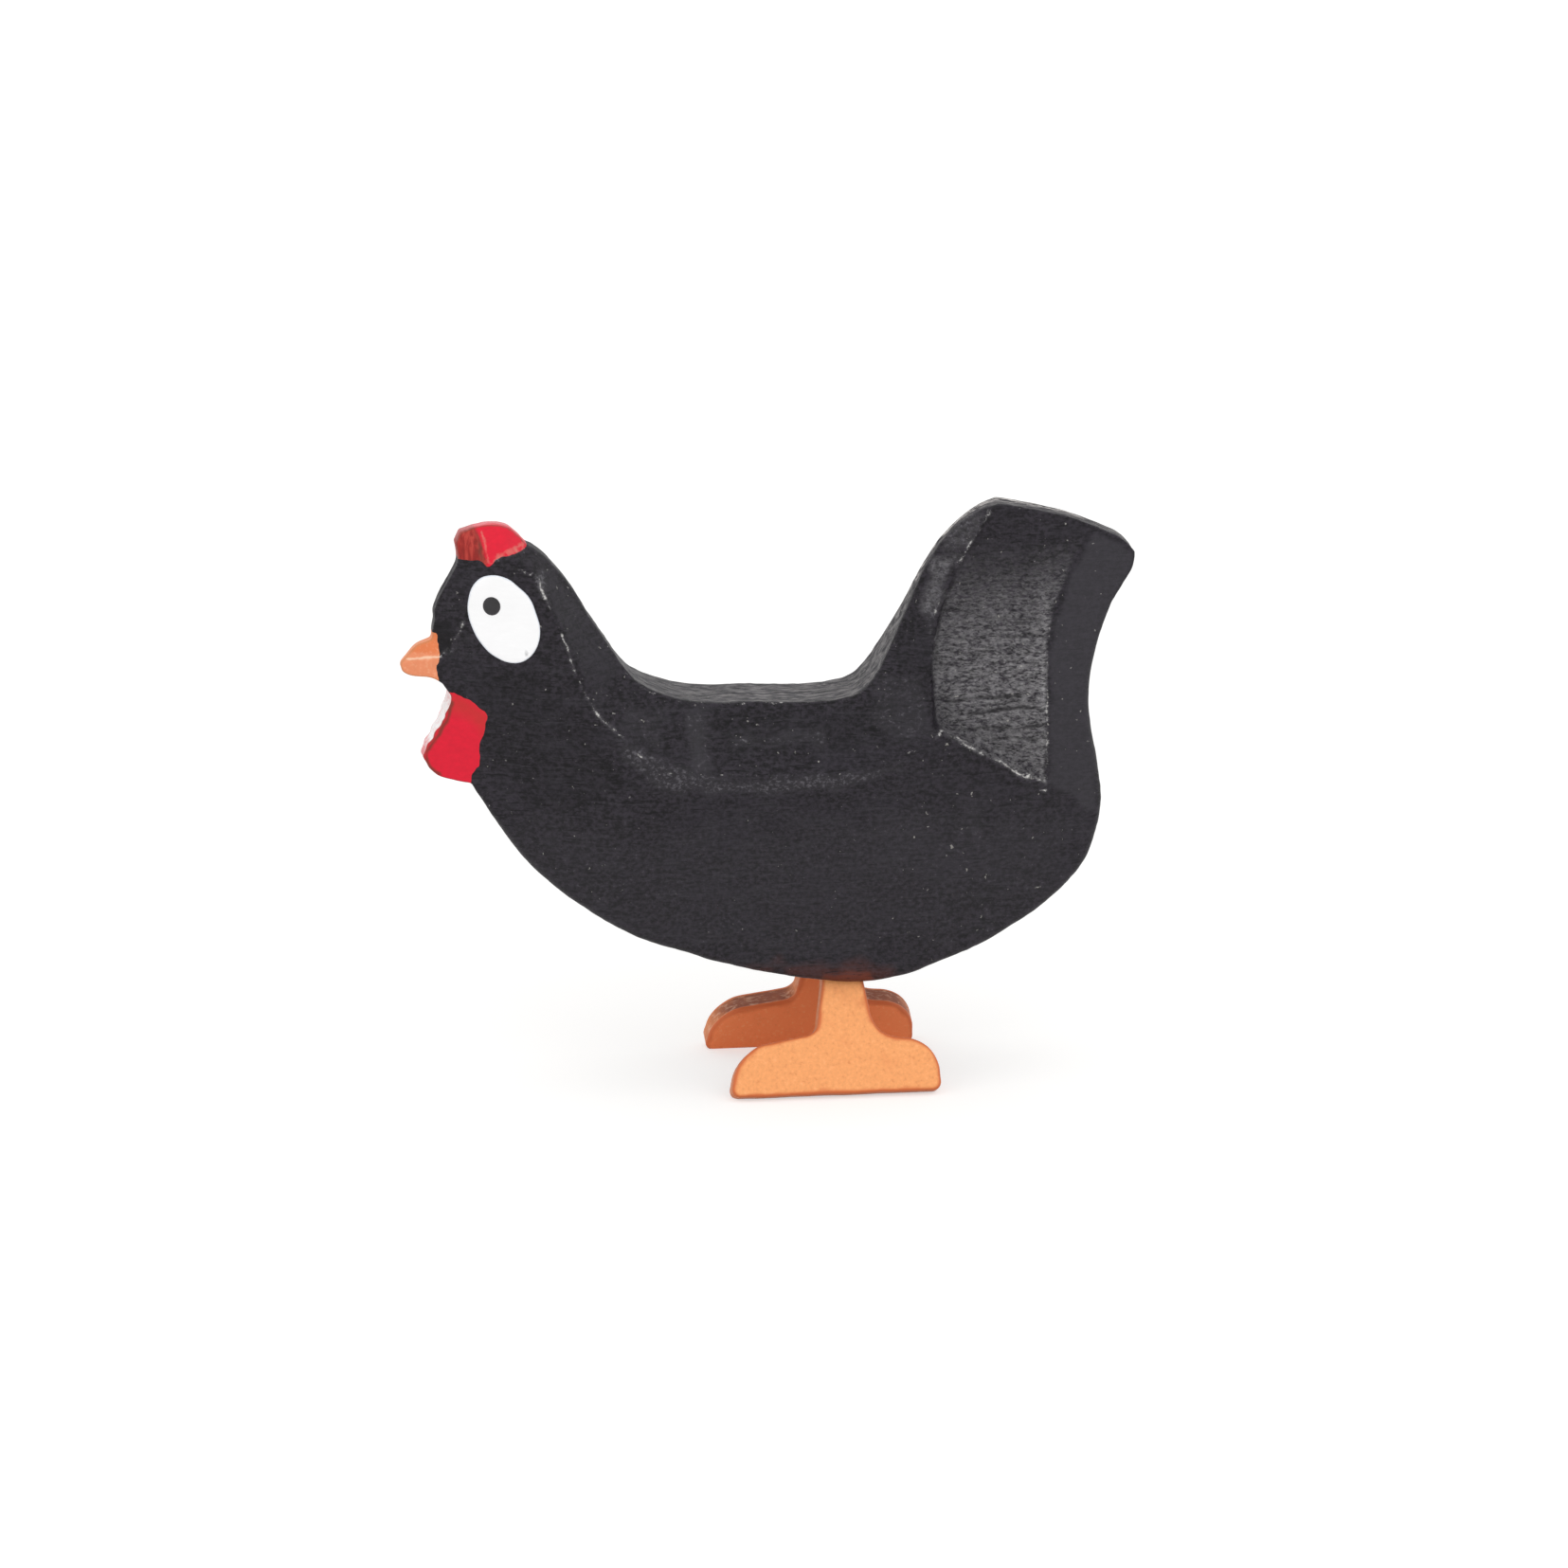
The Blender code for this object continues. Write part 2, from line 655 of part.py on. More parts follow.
main()
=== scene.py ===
"""A small wooden hen, sawn from a board, carved with a knife and painted.

Laid out as an add-on and run as a script.  The shape is drawn in millimetres: x from
the beak to the tail, z up, and y across the board, with the near side at -y.
"""

import functools
import math

import bpy
import numpy as np
from bpy.props import FloatProperty, FloatVectorProperty, PointerProperty
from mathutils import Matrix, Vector
from mathutils.geometry import delaunay_2d_cdt


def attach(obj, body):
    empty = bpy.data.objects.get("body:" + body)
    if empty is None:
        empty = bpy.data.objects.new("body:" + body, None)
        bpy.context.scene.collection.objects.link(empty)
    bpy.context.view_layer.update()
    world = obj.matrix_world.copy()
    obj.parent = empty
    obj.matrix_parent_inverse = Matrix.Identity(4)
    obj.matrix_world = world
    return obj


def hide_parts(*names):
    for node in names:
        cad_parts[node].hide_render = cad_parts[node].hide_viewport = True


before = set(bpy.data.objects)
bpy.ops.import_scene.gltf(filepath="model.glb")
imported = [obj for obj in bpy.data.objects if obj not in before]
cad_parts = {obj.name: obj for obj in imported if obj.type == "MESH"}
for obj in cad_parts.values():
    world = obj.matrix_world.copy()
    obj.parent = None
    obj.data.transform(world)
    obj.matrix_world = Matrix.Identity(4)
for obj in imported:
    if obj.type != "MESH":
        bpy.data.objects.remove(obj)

bl_info = {
    "name": "Carved wooden hen",
    "version": (1, 0, 0),
    "blender": (4, 5, 0),
    "location": "3D View > Sidebar > Hen",
    "description": "Builds a small carved and painted wooden hen on two splayed feet",
    "category": "Add Mesh",
}

MM = 0.001

# Spacing of the points on the saw line and the paint's borders, and on the carved sides; by
# what share of it a point strays from an even grid, how near a point may come to a drawn
# line, and how near each other two points are one.
EDGE_SPACING = 0.12
SIDE_SPACING = 0.17
GRID_STRAY = 0.12
LINE_CLEARANCE = 0.09
WELD = 1e-6

# A ring's point is kept where it lies this share of the ring's depth inside the outline, and
# another share of it and a gap away from a drawn line.
RING_CLEARANCE = 0.93
RING_LINE_SHARE = 0.35
RING_LINE_GAP = 0.01

# Rows across the sawn edge, steps of a curve from one drawn point to the next, the angle
# that stays sharp in the shading, and how near a point counts as on the saw line.
SAWN_ROWS = 24
CURVE_STEPS = 6
SHARP_ANGLE_DEG = 52
ON_SAW_LINE = 1e-4

# Points whose distance from a line is worked out at a time, and the cells each way in a
# table of random heights.
BATCH = 1500
BUMP_CELLS = 257

# The near side is at -y, the far side at +y.  Each has its own run of random bumps, and so
# has each foot.
HANDS = ((-1, "left"), (1, "right"))
SIDE_SEEDS = {-1: 100, 1: 200}
FOOT_SEEDS = {-1: 300, 1: 400}

# How far inside the saw line the extra points lie that carry its rounded corner.
CORNER_RINGS = (0.03, 0.08, 0.16, 0.28)

# Each rib of the top edge: where the saw line runs (x, z), half the width of the
# sawn edge that the knife leaves, and where the knife facet ends on the side (x, z).
FRONT_RIBS = [
    (-20.9, 24.8, 0.20, -20.7, 24.5),
    (-20.5, 25.3, 0.30, -20.4, 24.9),
    (-20.0, 25.85, 0.35, -19.9, 25.1),
    (-19.5, 26.05, 0.40, -19.35, 25.2),
    (-19.15, 26.25, 0.40, -18.6, 25.4),
    (-19.1, 26.75, 0.45, -17.95, 26.0),
    (-19.0, 27.35, 0.50, -17.7, 26.8),
    (-19.0, 27.9, 0.50, -17.4, 27.5),
    (-18.7, 28.7, 0.50, -17.1, 28.5),
    (-18.3, 29.4, 0.50, -16.8, 29.4),
    (-17.7, 30.6, 0.50, -16.2, 30.4),
    (-17.8, 31.75, 0.55, -15.9, 31.5),
]
BACK_RIBS = [
    (-16.7, 32.62, 0.50, -16.4, 30.85),
    (-15.9, 32.73, 0.55, -15.7, 30.8),
    (-14.9, 32.6, 0.60, -14.9, 30.7),
    (-14.25, 32.1, 0.60, -14.3, 30.5),
    (-13.8, 31.62, 0.65, -13.9, 30.35),
    (-13.4, 31.4, 0.70, -13.6, 30.15),
    (-12.85, 31.0, 0.70, -13.35, 29.9),
    (-12.3, 30.4, 0.70, -13.1, 29.3),
    (-11.3, 29.1, 0.80, -12.6, 28.2),
    (-10.2, 27.3, 0.95, -11.8, 26.4),
    (-9.05, 25.55, 1.35, -11.0, 24.4),
    (-7.9, 23.9, 1.90, -10.0, 22.2),
    (-6.2, 22.97, 2.20, -7.6, 20.2),
    (-4.0, 22.45, 2.20, -4.8, 18.9),
    (-0.3, 22.3, 2.20, -0.3, 18.8),
    (2.5, 22.2, 2.20, 2.9, 18.5),
    (4.1, 22.35, 2.20, 4.8, 18.9),
    (5.2, 22.75, 2.15, 6.9, 19.6),
    (6.1, 23.8, 1.95, 8.4, 20.35),
    (6.4, 24.3, 1.85, 9.2, 20.7),
    (6.7, 24.8, 1.65, 9.5, 21.3),
    (7.2, 25.8, 1.30, 9.3, 22.8),
    (7.92, 27.25, 0.90, 9.15, 25.2),
    (8.7, 28.9, 0.60, 9.8, 27.4),
    (9.7, 30.6, 0.50, 10.9, 29.9),
    (10.9, 31.9, 0.50, 11.8, 31.1),
    (12.0, 32.65, 0.65, 12.4, 32.3),
    (13.1, 33.05, 0.90, 13.0, 32.9),
]

# How the two knife facets run on past the comb's front corner (rib as above).
FRONT_RUN_OUT = (-17.4, 33.4, 0.60, -15.6, 33.4)
BACK_RUN_OUT = (-18.6, 32.6, 0.60, -18.2, 30.9)
COMB_FRONT_TOP = (-17.5, 32.35)

# The rest of the saw line (x, z), which the knife leaves alone.
TAIL_TOP = [(13.1, 33.05), (14.2, 32.9), (16.9, 32.2), (18.5, 31.6), (20.1, 30.85), (20.9, 30.0)]
TAIL_BACK = [
    (20.9, 30.0), (20.7, 29.15), (20.0, 28.1), (19.35, 27.1), (18.5, 25.15), (18.0, 22.9),
    (18.0, 20.7), (18.45, 18.0), (18.55, 15.55), (17.6, 12.8), (15.45, 10.6), (12.2, 8.6),
    (9.75, 7.6), (6.8, 6.62), (4.0, 6.42), (0.7, 6.87), (-2.5, 7.62), (-5.85, 8.68),
    (-8.65, 9.8), (-11.75, 11.65), (-13.7, 13.25), (-15.4, 15.35), (-17.1, 18.0),
]
WATTLE_EDGE = [
    (-17.1, 18.0), (-17.95, 18.15), (-18.85, 18.35), (-19.5, 18.9), (-19.65, 19.6),
    (-19.2, 20.55), (-18.75, 21.2), (-18.3, 22.2), (-18.2, 23.0), (-18.6, 23.7),
]
BEAK_UNDER = [(-18.6, 23.7), (-19.2, 24.05), (-20.1, 24.1), (-20.7, 24.3), (-20.9, 24.8)]

# How far the board reaches: its rough sawn edge stands out no further.
BOARD_ENDS_X = (-20.9, 20.9)
BOARD_TOP_Z = 33.05

# The lower corners are rubbed round: fully so from this far below the tail's tip, and from
# this far behind the wattle.
BELLY_DROP = 6.0
BELLY_LEAD = 3.0

# How the saw line strays: height, length and seed of each kind of bump.  The wattle's front
# is torn as well: its bumps, how far back they go, and how much of them shows at heights z.
SAW_BUMPS = ((0.03, 1.3, 5), (0.015, 0.35, 6))
TORN_BUMPS = (0.12, 0.36, 7)
TORN_REAR_X = -17.7
TORN_HEIGHTS = ((18.8, 19.3, 23.0, 23.6), (0.0, 1.0, 1.0, 0.0))

# The front tapers in plan: half thickness at the beak end, at the wattle, and how
# fast it grows behind the wattle.
BEAK_END_X = -21.5
BEAK_END_HALF = 0.2
WATTLE_X = -18.8
WATTLE_HALF = 0.9
FRONT_TAPER = 0.42

# The neck facet: a point of it, its half thickness there, its rise towards the tail and
# its fall towards the comb, and its border (x, z), which runs on past the back.
NECK_POINT = (-12.6, 16.9)
NECK_HALF = 3.5
NECK_RISE = 0.334
NECK_FALL = 0.062
NECK_BORDER = [
    (-18.7, 24.0), (-14.4, 16.7), (-12.0, 16.4), (-8.4, 18.2), (-4.0, 19.6), (-4.0, 36.0),
    (-18.7, 36.0),
]

# The tail thins towards its top edge: the edge's line, and the half thickness on it.
TAIL_LINE_START = (13.2, 33.1)
TAIL_LINE_END = (20.4, 30.5)
TAIL_TOP_HALF = 0.95
TAIL_THINNING = 0.335
TAIL_FRONT_X = 5.0

# The rump thins a little towards the rear.
RUMP_START_X = 11.0
RUMP_TAPER = 0.12

# The hollow cut into each side of the tail, drawn on the side (x, z): up its front, over
# its top, down its rear wall and along its bottom ledge.
HOLLOW_BORDER = [
    (9.75, 20.95), (9.3, 21.3), (9.15, 24.2), (9.3, 25.75), (9.7, 27.25), (10.45, 29.2),
    (11.35, 30.7), (12.0, 31.6), (12.8, 33.0),
    (13.3, 34.2), (18.6, 32.4),
    (16.9, 28.95), (16.25, 28.1), (15.9, 27.0), (15.6, 25.3), (15.43, 22.4), (15.3, 17.75),
    (14.3, 18.45), (12.4, 19.5), (10.8, 20.4),
]

# How steeply the wood rises outside the neck facet and outside the hollow.
NECK_WALL = 1.8
HOLLOW_WALL = 4.0

# The hollow's floor is two cuts: a long one that slopes in from the rear crease, and a
# short one below the tail's top edge.  The knife facet in front of the hollow stands
# above its floor, by less the higher up it is: heights z, and the step there.
HOLLOW_REAR_X = 15.5
HOLLOW_SLOPE_X = 0.2
HOLLOW_LOW_HALF = 4.3
HOLLOW_TOP_HALF = 1.0
HOLLOW_TOP_SLOPE = 0.13
HOLLOW_STEPS = ((20.3, 20.7, 21.3, 22.8, 25.2, 27.4), (2.2, 1.7, 1.3, 0.8, 0.35, 0.22))

# Over what width two cuts run into each other: the broad ones, those of the neck, the tail
# and the hollow's floor, the step in front of it, and the small facets.
BROAD_BLEND = 0.6
NECK_BLEND = 0.3
TAIL_BLEND = 0.8
FLOOR_BLEND = 0.15
STEP_BLEND = 0.2
FACET_BLEND = 0.1
BACK_BLEND = 0.12

# The front facet is cut more evenly than the rest, and no worn corner takes more than this
# share of the thickness.
FRONT_WAVER = 0.6
CORNER_SHARE = 0.55

# A knife cut strays in swings and in shorter ones on them: length, and share of the waver.
KNIFE_SWINGS = ((3.1, 1.0), (1.1, 0.4))

# How far and over what length a brush strays along a paint's border.
BRUSH_SWINGS = ((0.07, 0.45), (0.035, 0.2))

# Roughness of the sawn edge: share, length and seed of each kind of bump.  The last kind
# is drawn out along the edge by the stretch.
SAWN_BUMPS = ((1.0, 0.9, 15), (0.6, 0.3, 16), (0.5, 0.12, 17))
SAWN_STRETCH = (0.25, 1.0)

# Paint borders on the carved wood, drawn on the side (x, z), and where each paint's zone
# ends beyond the wood.
COMB_BORDER = [
    (-19.5, 30.75), (-17.1, 30.85), (-16.4, 30.85), (-16.1, 30.65), (-15.85, 30.75),
    (-15.5, 31.05), (-14.9, 31.3), (-14.1, 31.35), (-13.75, 31.6), (-13.6, 32.4),
]
COMB_ZONE_TOP = 34.0
BEAK_BORDER = [
    (-19.9, 26.6), (-19.0, 26.6), (-18.85, 26.3), (-18.8, 25.3), (-18.9, 24.6), (-18.85, 23.6),
]
BEAK_ZONE_FRONT = -22.5
WATTLE_BORDER = [
    (-18.1, 23.25), (-17.3, 22.95), (-16.7, 22.55), (-16.25, 22.0), (-16.3, 21.1),
    (-16.7, 20.3), (-16.6, 19.2), (-17.05, 18.6), (-17.1, 17.4),
]
WATTLE_ZONE_FRONT = -21.0

# The crease at the comb's front corner: heights z, x at them, and how sharply the facet in
# front of it begins.  The facet reaches this far below the comb's paint.  That facet is
# painted darker: painted shade of a face turned away from the light.
COMB_CREASE = ((30.8, 31.6, 32.7), (-16.08, -16.25, -16.75))
COMB_CREASE_FADE = 0.08
COMB_FACET_DROP = 0.5

# Creases that handling has rubbed through: points (x, z), and how much of the paint is gone.
# Beside the comb's corner crease and along the beak's ridge the pale is also painted
# highlight.
RUBBED_AND_HIGHLIT_CREASES = [
    ([(-13.5, 30.2), (-13.3, 30.0), (-13.15, 29.35), (-12.95, 28.9)], 1.0),
    ([(-12.95, 28.9), (-12.6, 28.2), (-11.86, 26.28), (-11.23, 24.35)], 0.7),
    ([(-11.23, 24.35), (-10.21, 22.43), (-9.18, 21.48)], 0.8),
    ([(-9.03, 21.28), (-8.23, 20.48), (-7.5, 19.79), (-6.65, 19.23), (-4.8, 18.85)], 0.6),
    ([(-4.8, 18.9), (-0.3, 18.8), (2.9, 18.5), (4.8, 18.9), (6.9, 19.6), (7.98, 20.1),
      (8.9, 20.4)], 0.5),
    ([(-4.9, 22.3), (-4.71, 22.06), (-4.78, 20.31), (-4.77, 18.9)], 0.35),
    ([(-4.12, 21.7), (-4.18, 19.82), (-4.39, 18.9)], 0.35),
    ([(-1.95, 20.4), (-0.55, 20.33), (0.54, 20.38), (2.19, 20.49)], 0.4),
    ([(-18.55, 25.5), (-18.0, 26.2), (-17.66, 26.77), (-17.4, 27.42)], 0.85),
    ([(-17.1, 28.5), (-16.8, 29.4), (-16.2, 30.5)], 0.3),
    ([(-15.8, 30.75), (-15.07, 30.75), (-14.25, 30.45), (-13.7, 30.2)], 0.55),
    ([(8.9, 20.55), (9.4, 20.85), (10.65, 20.12), (11.73, 19.48), (12.82, 18.88)], 0.85),
    ([(12.82, 18.88), (13.4, 18.45), (14.1, 18.05), (15.16, 17.77)], 1.0),
    ([(14.2, 18.2), (14.7, 18.08), (15.2, 17.98)], 1.0),
    ([(14.38, 17.28), (15.37, 17.16)], 0.8),
    ([(15.35, 17.8), (15.43, 22.4), (15.6, 25.3), (15.95, 27.1)], 0.7),
    ([(12.6, 32.7), (12.0, 31.75), (11.25, 30.75), (10.4, 29.3)], 0.8),
    ([(9.9, 28.4), (9.3, 27.1), (9.0, 25.9)], 0.65),
    ([(9.1, 30.2), (9.8, 30.22), (11.0, 30.35)], 0.4),
    ([(7.0, 25.2), (7.5, 26.4), (8.2, 27.8), (9.0, 29.3), (10.2, 31.2)], 0.5),
    ([(-8.39, 24.3), (-7.7, 23.6), (-6.5, 22.95), (-4.2, 22.4), (-0.3, 22.25), (4.1, 22.3)],
     0.5),
    ([(13.1, 32.95), (14.4, 32.75), (16.9, 32.1), (19.6, 31.1)], 0.45),
    # Beside the comb's front corner: a pink painted highlight with worn paint.
    ([(-16.35, 32.4), (-16.25, 32.18), (-16.15, 31.5), (-16.03, 30.8)], 1.0),
    ([(-15.6, 31.25), (-15.2, 31.45), (-14.5, 31.6), (-13.95, 31.65)], 0.75),
    ([(-15.75, 30.95), (-15.4, 31.17), (-14.8, 31.4), (-14.0, 31.45)], 0.8),
    # Along the beak's ridge: a painted highlight with worn paint.
    ([(-20.5, 25.1), (-19.6, 25.22), (-18.65, 25.28)], 0.7),
]

# Dark lines: a painted shadow along the step in front of the hollow, cracks in the hollow,
# and a dark brown line in front of the comb's corner and along the wattle's front edge,
# drawn in the same way.
DARK_LINES = [
    # Painted shadow of the step in front of the hollow.
    ([(12.85, 32.9), (12.15, 31.7), (11.4, 30.6), (10.6, 29.2), (9.85, 27.25), (9.45, 25.75),
      (9.3, 24.2)], 0.5),
    ([(9.9, 22.2), (11.0, 22.3), (11.9, 22.5), (12.6, 22.42), (13.95, 22.6)], 1.0),
    ([(11.0, 21.5), (11.76, 21.58), (13.1, 21.8), (14.43, 21.9), (15.2, 21.75)], 1.0),
    ([(10.77, 20.6), (12.47, 20.77), (13.6, 20.7), (15.41, 21.0)], 0.9),
    ([(12.4, 20.05), (13.5, 20.2), (14.9, 20.1)], 0.7),
    ([(10.0, 23.3), (11.0, 23.55), (12.3, 23.5)], 0.6),
    ([(10.2, 24.9), (11.6, 24.8), (13.0, 24.95)], 0.5),
    ([(11.0, 27.1), (12.7, 26.7), (14.6, 26.5)], 0.5),
    ([(13.4, 25.7), (14.6, 25.85), (15.5, 25.75)], 0.6),
    ([(-16.72, 32.6), (-16.56, 32.18), (-16.46, 31.5), (-16.35, 30.87)], 1.0),
    ([(-18.12, 22.7), (-18.4, 21.6), (-18.75, 20.95), (-19.1, 20.4), (-19.5, 19.75)], 1.0),
    ([(-19.5, 19.75), (-19.5, 19.3), (-19.35, 18.85), (-18.8, 18.45)], 1.0),
]

# Two patches in front of the hollow, one above the other, painted paler partly as painted
# sheen, the lower one also as painted light.
LOWER_PATCH = [
    (9.3, 30.2), (11.0, 30.3), (10.35, 29.0), (9.95, 28.0), (9.2, 27.0), (8.4, 27.0), (8.8, 28.6),
]
UPPER_PATCH = [(10.2, 31.5), (11.6, 32.7), (12.3, 32.5), (11.4, 30.8), (9.7, 30.3)]

# Faces painted paler or deeper black than the rest, as painted light and painted shade for
# how light falls on each facet: paler on the tail's rear, the back of the neck, the lower
# rear of the side, the lower patch in front of the hollow, the shaded step wall in front of
# the hollow's floor, and a strip where the neck meets the back; deeper on the wedge in front
# of the hollow, the neck facet, the saddle's facet and the beak's upper facet, and deeper
# too on the wattle's upper part.  Each has a closed border (x, z), how much, and over how
# many millimetres it comes in from the border.
PAINTED_LIGHT_FACES = [
    ([(16.9, 28.9), (15.6, 25.3), (15.3, 17.6), (18.4, 15.4), (18.1, 22.9), (21.0, 30.0),
      (18.6, 31.4)], 0.9, 0.3),
    ([(-13.2, 29.6), (-12.0, 26.4), (-10.1, 22.3), (-8.3, 24.6), (-10.2, 27.3), (-12.3, 30.4)],
     0.4, 0.4),
    ([(2.0, 18.4), (9.0, 20.0), (15.2, 17.4), (18.4, 15.6), (15.0, 10.5), (6.0, 12.0)],
     0.12, 1.5),
    (LOWER_PATCH, 0.3, 0.4),
    ([(9.15, 21.2), (9.75, 20.9), (9.5, 22.5), (9.4, 24.6), (9.05, 24.6)], 1.0, 0.06),
    ([(-5.1, 22.4), (-3.9, 22.2), (-4.0, 18.8), (-5.1, 19.0)], 0.4, 0.4),
]
DEEP_FACES = [
    ([(8.08, 27.3), (9.24, 26.3), (9.2, 23.0), (8.0, 22.6), (6.9, 24.2), (7.1, 25.86)], 0.5, 0.3),
    ([(-17.6, 24.6), (-13.2, 25.0), (-9.6, 20.6), (-8.4, 18.2), (-12.0, 16.4), (-14.4, 16.7),
      (-16.6, 20.2)], 0.55, 0.6),
    ([(-3.6, 22.2), (4.0, 21.8), (6.5, 23.0), (8.6, 21.5), (4.8, 19.4), (-3.6, 19.4)], 0.5, 0.5),
    ([(-22.0, 25.28), (-18.0, 25.36), (-18.0, 27.4), (-22.0, 27.4)], 0.8, 0.15),
    ([(-18.4, 23.4), (-17.3, 23.2), (-16.0, 22.6), (-16.1, 20.9), (-17.0, 21.6), (-18.3, 21.9)],
     0.8, 0.5),
]

# Faces where the paint is scuffed through in specks, and faces of the belly's lower edge
# painted with a reflection of the orange feet, strongest just above the legs, with the same
# values.
SCUFFED_FACES = [
    ([(-9.6, 21.6), (-8.0, 21.0), (-6.3, 19.9), (-3.4, 18.9), (3.6, 18.8), (7.0, 19.4),
      (7.0, 18.6), (3.6, 17.7), (0.3, 17.4), (-3.4, 17.5), (-6.6, 17.9), (-9.0, 19.6)], 0.24, 0.4),
    ([(-10.0, 24.0), (-7.6, 22.6), (-6.0, 22.4), (-6.6, 19.6), (-8.4, 20.9)], 0.14, 0.6),
    ([(-13.8, 30.3), (-12.9, 30.3), (-12.7, 29.3), (-13.4, 29.2)], 0.33, 0.2),
    ([(-5.4, 22.4), (-3.6, 22.2), (-3.7, 18.8), (-5.3, 18.9)], 0.2, 0.8),
    ([(-2.8, 20.9), (3.0, 21.0), (3.0, 20.0), (-2.8, 19.8)], 0.2, 0.5),
    (UPPER_PATCH, 0.2, 0.2),
    ([(9.3, 30.2), (11.0, 30.3), (10.35, 29.0), (9.95, 28.0), (9.3, 26.0), (8.7, 25.8),
      (8.4, 27.2), (8.8, 28.6)], 0.24, 0.4),
    ([(6.0, 24.0), (8.6, 24.0), (8.9, 20.9), (7.0, 20.0), (5.0, 21.0)], 0.17, 0.6),
    ([(-17.3, 26.9), (-18.6, 25.5), (-18.2, 25.1), (-16.9, 26.6)], 0.25, 0.3),
    ([(-16.0, 11.0), (-16.0, 17.0), (18.0, 17.0), (18.0, 7.0), (-6.0, 7.0)], 0.11, 2.0),
]
FEET_REFLECTION_FACES = [
    ([(-2.2, 7.5), (0.0, 7.9), (4.5, 8.0), (6.5, 7.4), (6.8, 6.4), (4.0, 6.2), (0.7, 6.6)],
     0.35, 0.9),
    ([(2.5, 7.15), (5.3, 7.15), (5.5, 6.3), (2.3, 6.3)], 1.0, 0.3),
]

# Faces with little paint on them, brushed thin, whose pale streaks are also painted sheen
# and glints off the knife chatter: the hollow, which is driest and palest low down and
# towards its rear, and the patches in front of it, with the same values.
HOLLOW_FACE = [
    (9.35, 20.75), (9.1, 21.5), (9.0, 24.2), (9.2, 25.75), (9.7, 27.25), (10.45, 29.2),
    (12.0, 31.6), (12.9, 33.4), (18.6, 32.0), (16.9, 28.95), (15.9, 27.0), (15.6, 25.3),
    (15.43, 22.4), (15.3, 17.6), (12.3, 19.0),
]
HOLLOW_FACE_FADE = 0.12
DRY_AND_SHEEN_FACES = [(LOWER_PATCH, 0.28, 0.4), (UPPER_PATCH, 0.12, 0.3)]
DRY_AND_SHEEN_LEVEL_Z = (
    (17.6, 19.5, 21.7, 23.8, 26.0, 28.1, 29.5, 31.0),
    (0.54, 0.58, 0.68, 0.75, 0.54, 0.32, 0.12, 0.0),
)
DRY_AND_SHEEN_LEVEL_X = ((9.3, 12.0, 14.8, 15.3), (0.7, 0.85, 0.95, 1.3))

# How much wood shows on the sawn edge, which is painted paler also as a reflection of
# grazing light: places once round the bird (x, z), and how much.
SAWN_SHOWS = [
    (-20.9, 24.8, 0.5), (-19.2, 26.2, 0.5), (-19.0, 27.5, 0.0), (-17.8, 30.5, 0.0),
    (-17.8, 31.6, 0.05), (-17.5, 32.35, 0.4), (-15.9, 32.7, 0.7), (-14.0, 31.8, 0.55),
    (-13.4, 31.4, 0.2), (-11.3, 29.1, 0.15), (-9.05, 25.5, 0.25), (-6.2, 23.0, 0.4),
    (0.0, 22.3, 0.6), (4.1, 22.3, 0.55), (6.4, 24.3, 0.6), (8.7, 28.9, 0.9), (10.9, 31.9, 1.0),
    (13.1, 33.05, 1.0), (16.9, 32.2, 1.0), (20.0, 31.0, 0.8), (20.9, 30.0, 0.4),
    (20.0, 28.1, 0.25), (18.0, 21.0, 0.25), (18.0, 14.0, 0.2), (9.75, 7.6, 0.15),
    (-5.85, 8.7, 0.15), (-13.7, 13.3, 0.2), (-17.1, 18.0, 0.2), (-18.85, 18.35, 0.15),
    (-19.6, 19.3, 0.6), (-19.2, 20.5, 1.0), (-18.3, 22.2, 1.0), (-18.2, 23.0, 0.9),
    (-18.6, 23.7, 0.5), (-20.0, 24.1, 0.3), (-20.9, 24.8, 0.5),
]

# How much of that shows across the edge of the tail and of the comb: shares of its width
# from the near corner, which keeps more of its paint there, and how much.  On the tail this
# comes in between two places x.
CORNER_SHOWS = ((0.0, 0.2, 0.6), (0.2, 0.35, 1.0))
CORNER_FROM_X = ((6.0, 9.0), (0.0, 1.0))

# How far from a drawn line its wear is looked for, over what length it ends, which is also
# the spacing of its points, and the steps of its curve.  Its strength comes and goes in
# patches of a length, round a share of what is drawn and by a swing.
LINE_REACH = 0.8
LINE_END = 0.3
LINE_STEPS = 4
PATCH_LENGTH = 0.7
PATCH_MEAN = 0.85
PATCH_SWING = 0.4

# How far the border of a face wanders, as a share of its fade, and over what length.
FACE_WANDER = 0.6
FACE_WANDER_LENGTH = 0.8

# How far in from its edge a rim reaches: on the bird, and on the coats of the eyes.
RIM_FADE = 0.12
COAT_RIM_FADE = 0.1

# How far the wear of a drawn line wanders from it, from one side to the other.
STRAY = 0.24

# The eyes: a coat of white in a leaning oval, and a black dot on it.
EYE_CENTRE = (-15.24, 27.65)
EYE_HALF_LENGTH = 2.59
EYE_HALF_WIDTH = 1.83
EYE_LEAN_DEG = 23.5
EYE_POINTS = 110
EYE_WAVER = 0.04
PUPIL_CENTRE = (-15.9, 28.35)
PUPIL_HALF_LENGTH = 0.53
PUPIL_HALF_WIDTH = 0.48
PUPIL_POINTS = 40

# A smudge at the white's edge: its middle, its reach along x and z, and how it fades.
EYE_SMUDGE = (-14.02, 25.72)
SMUDGE_REACH = (0.9, 1.3)
SMUDGE_FADE = 0.2

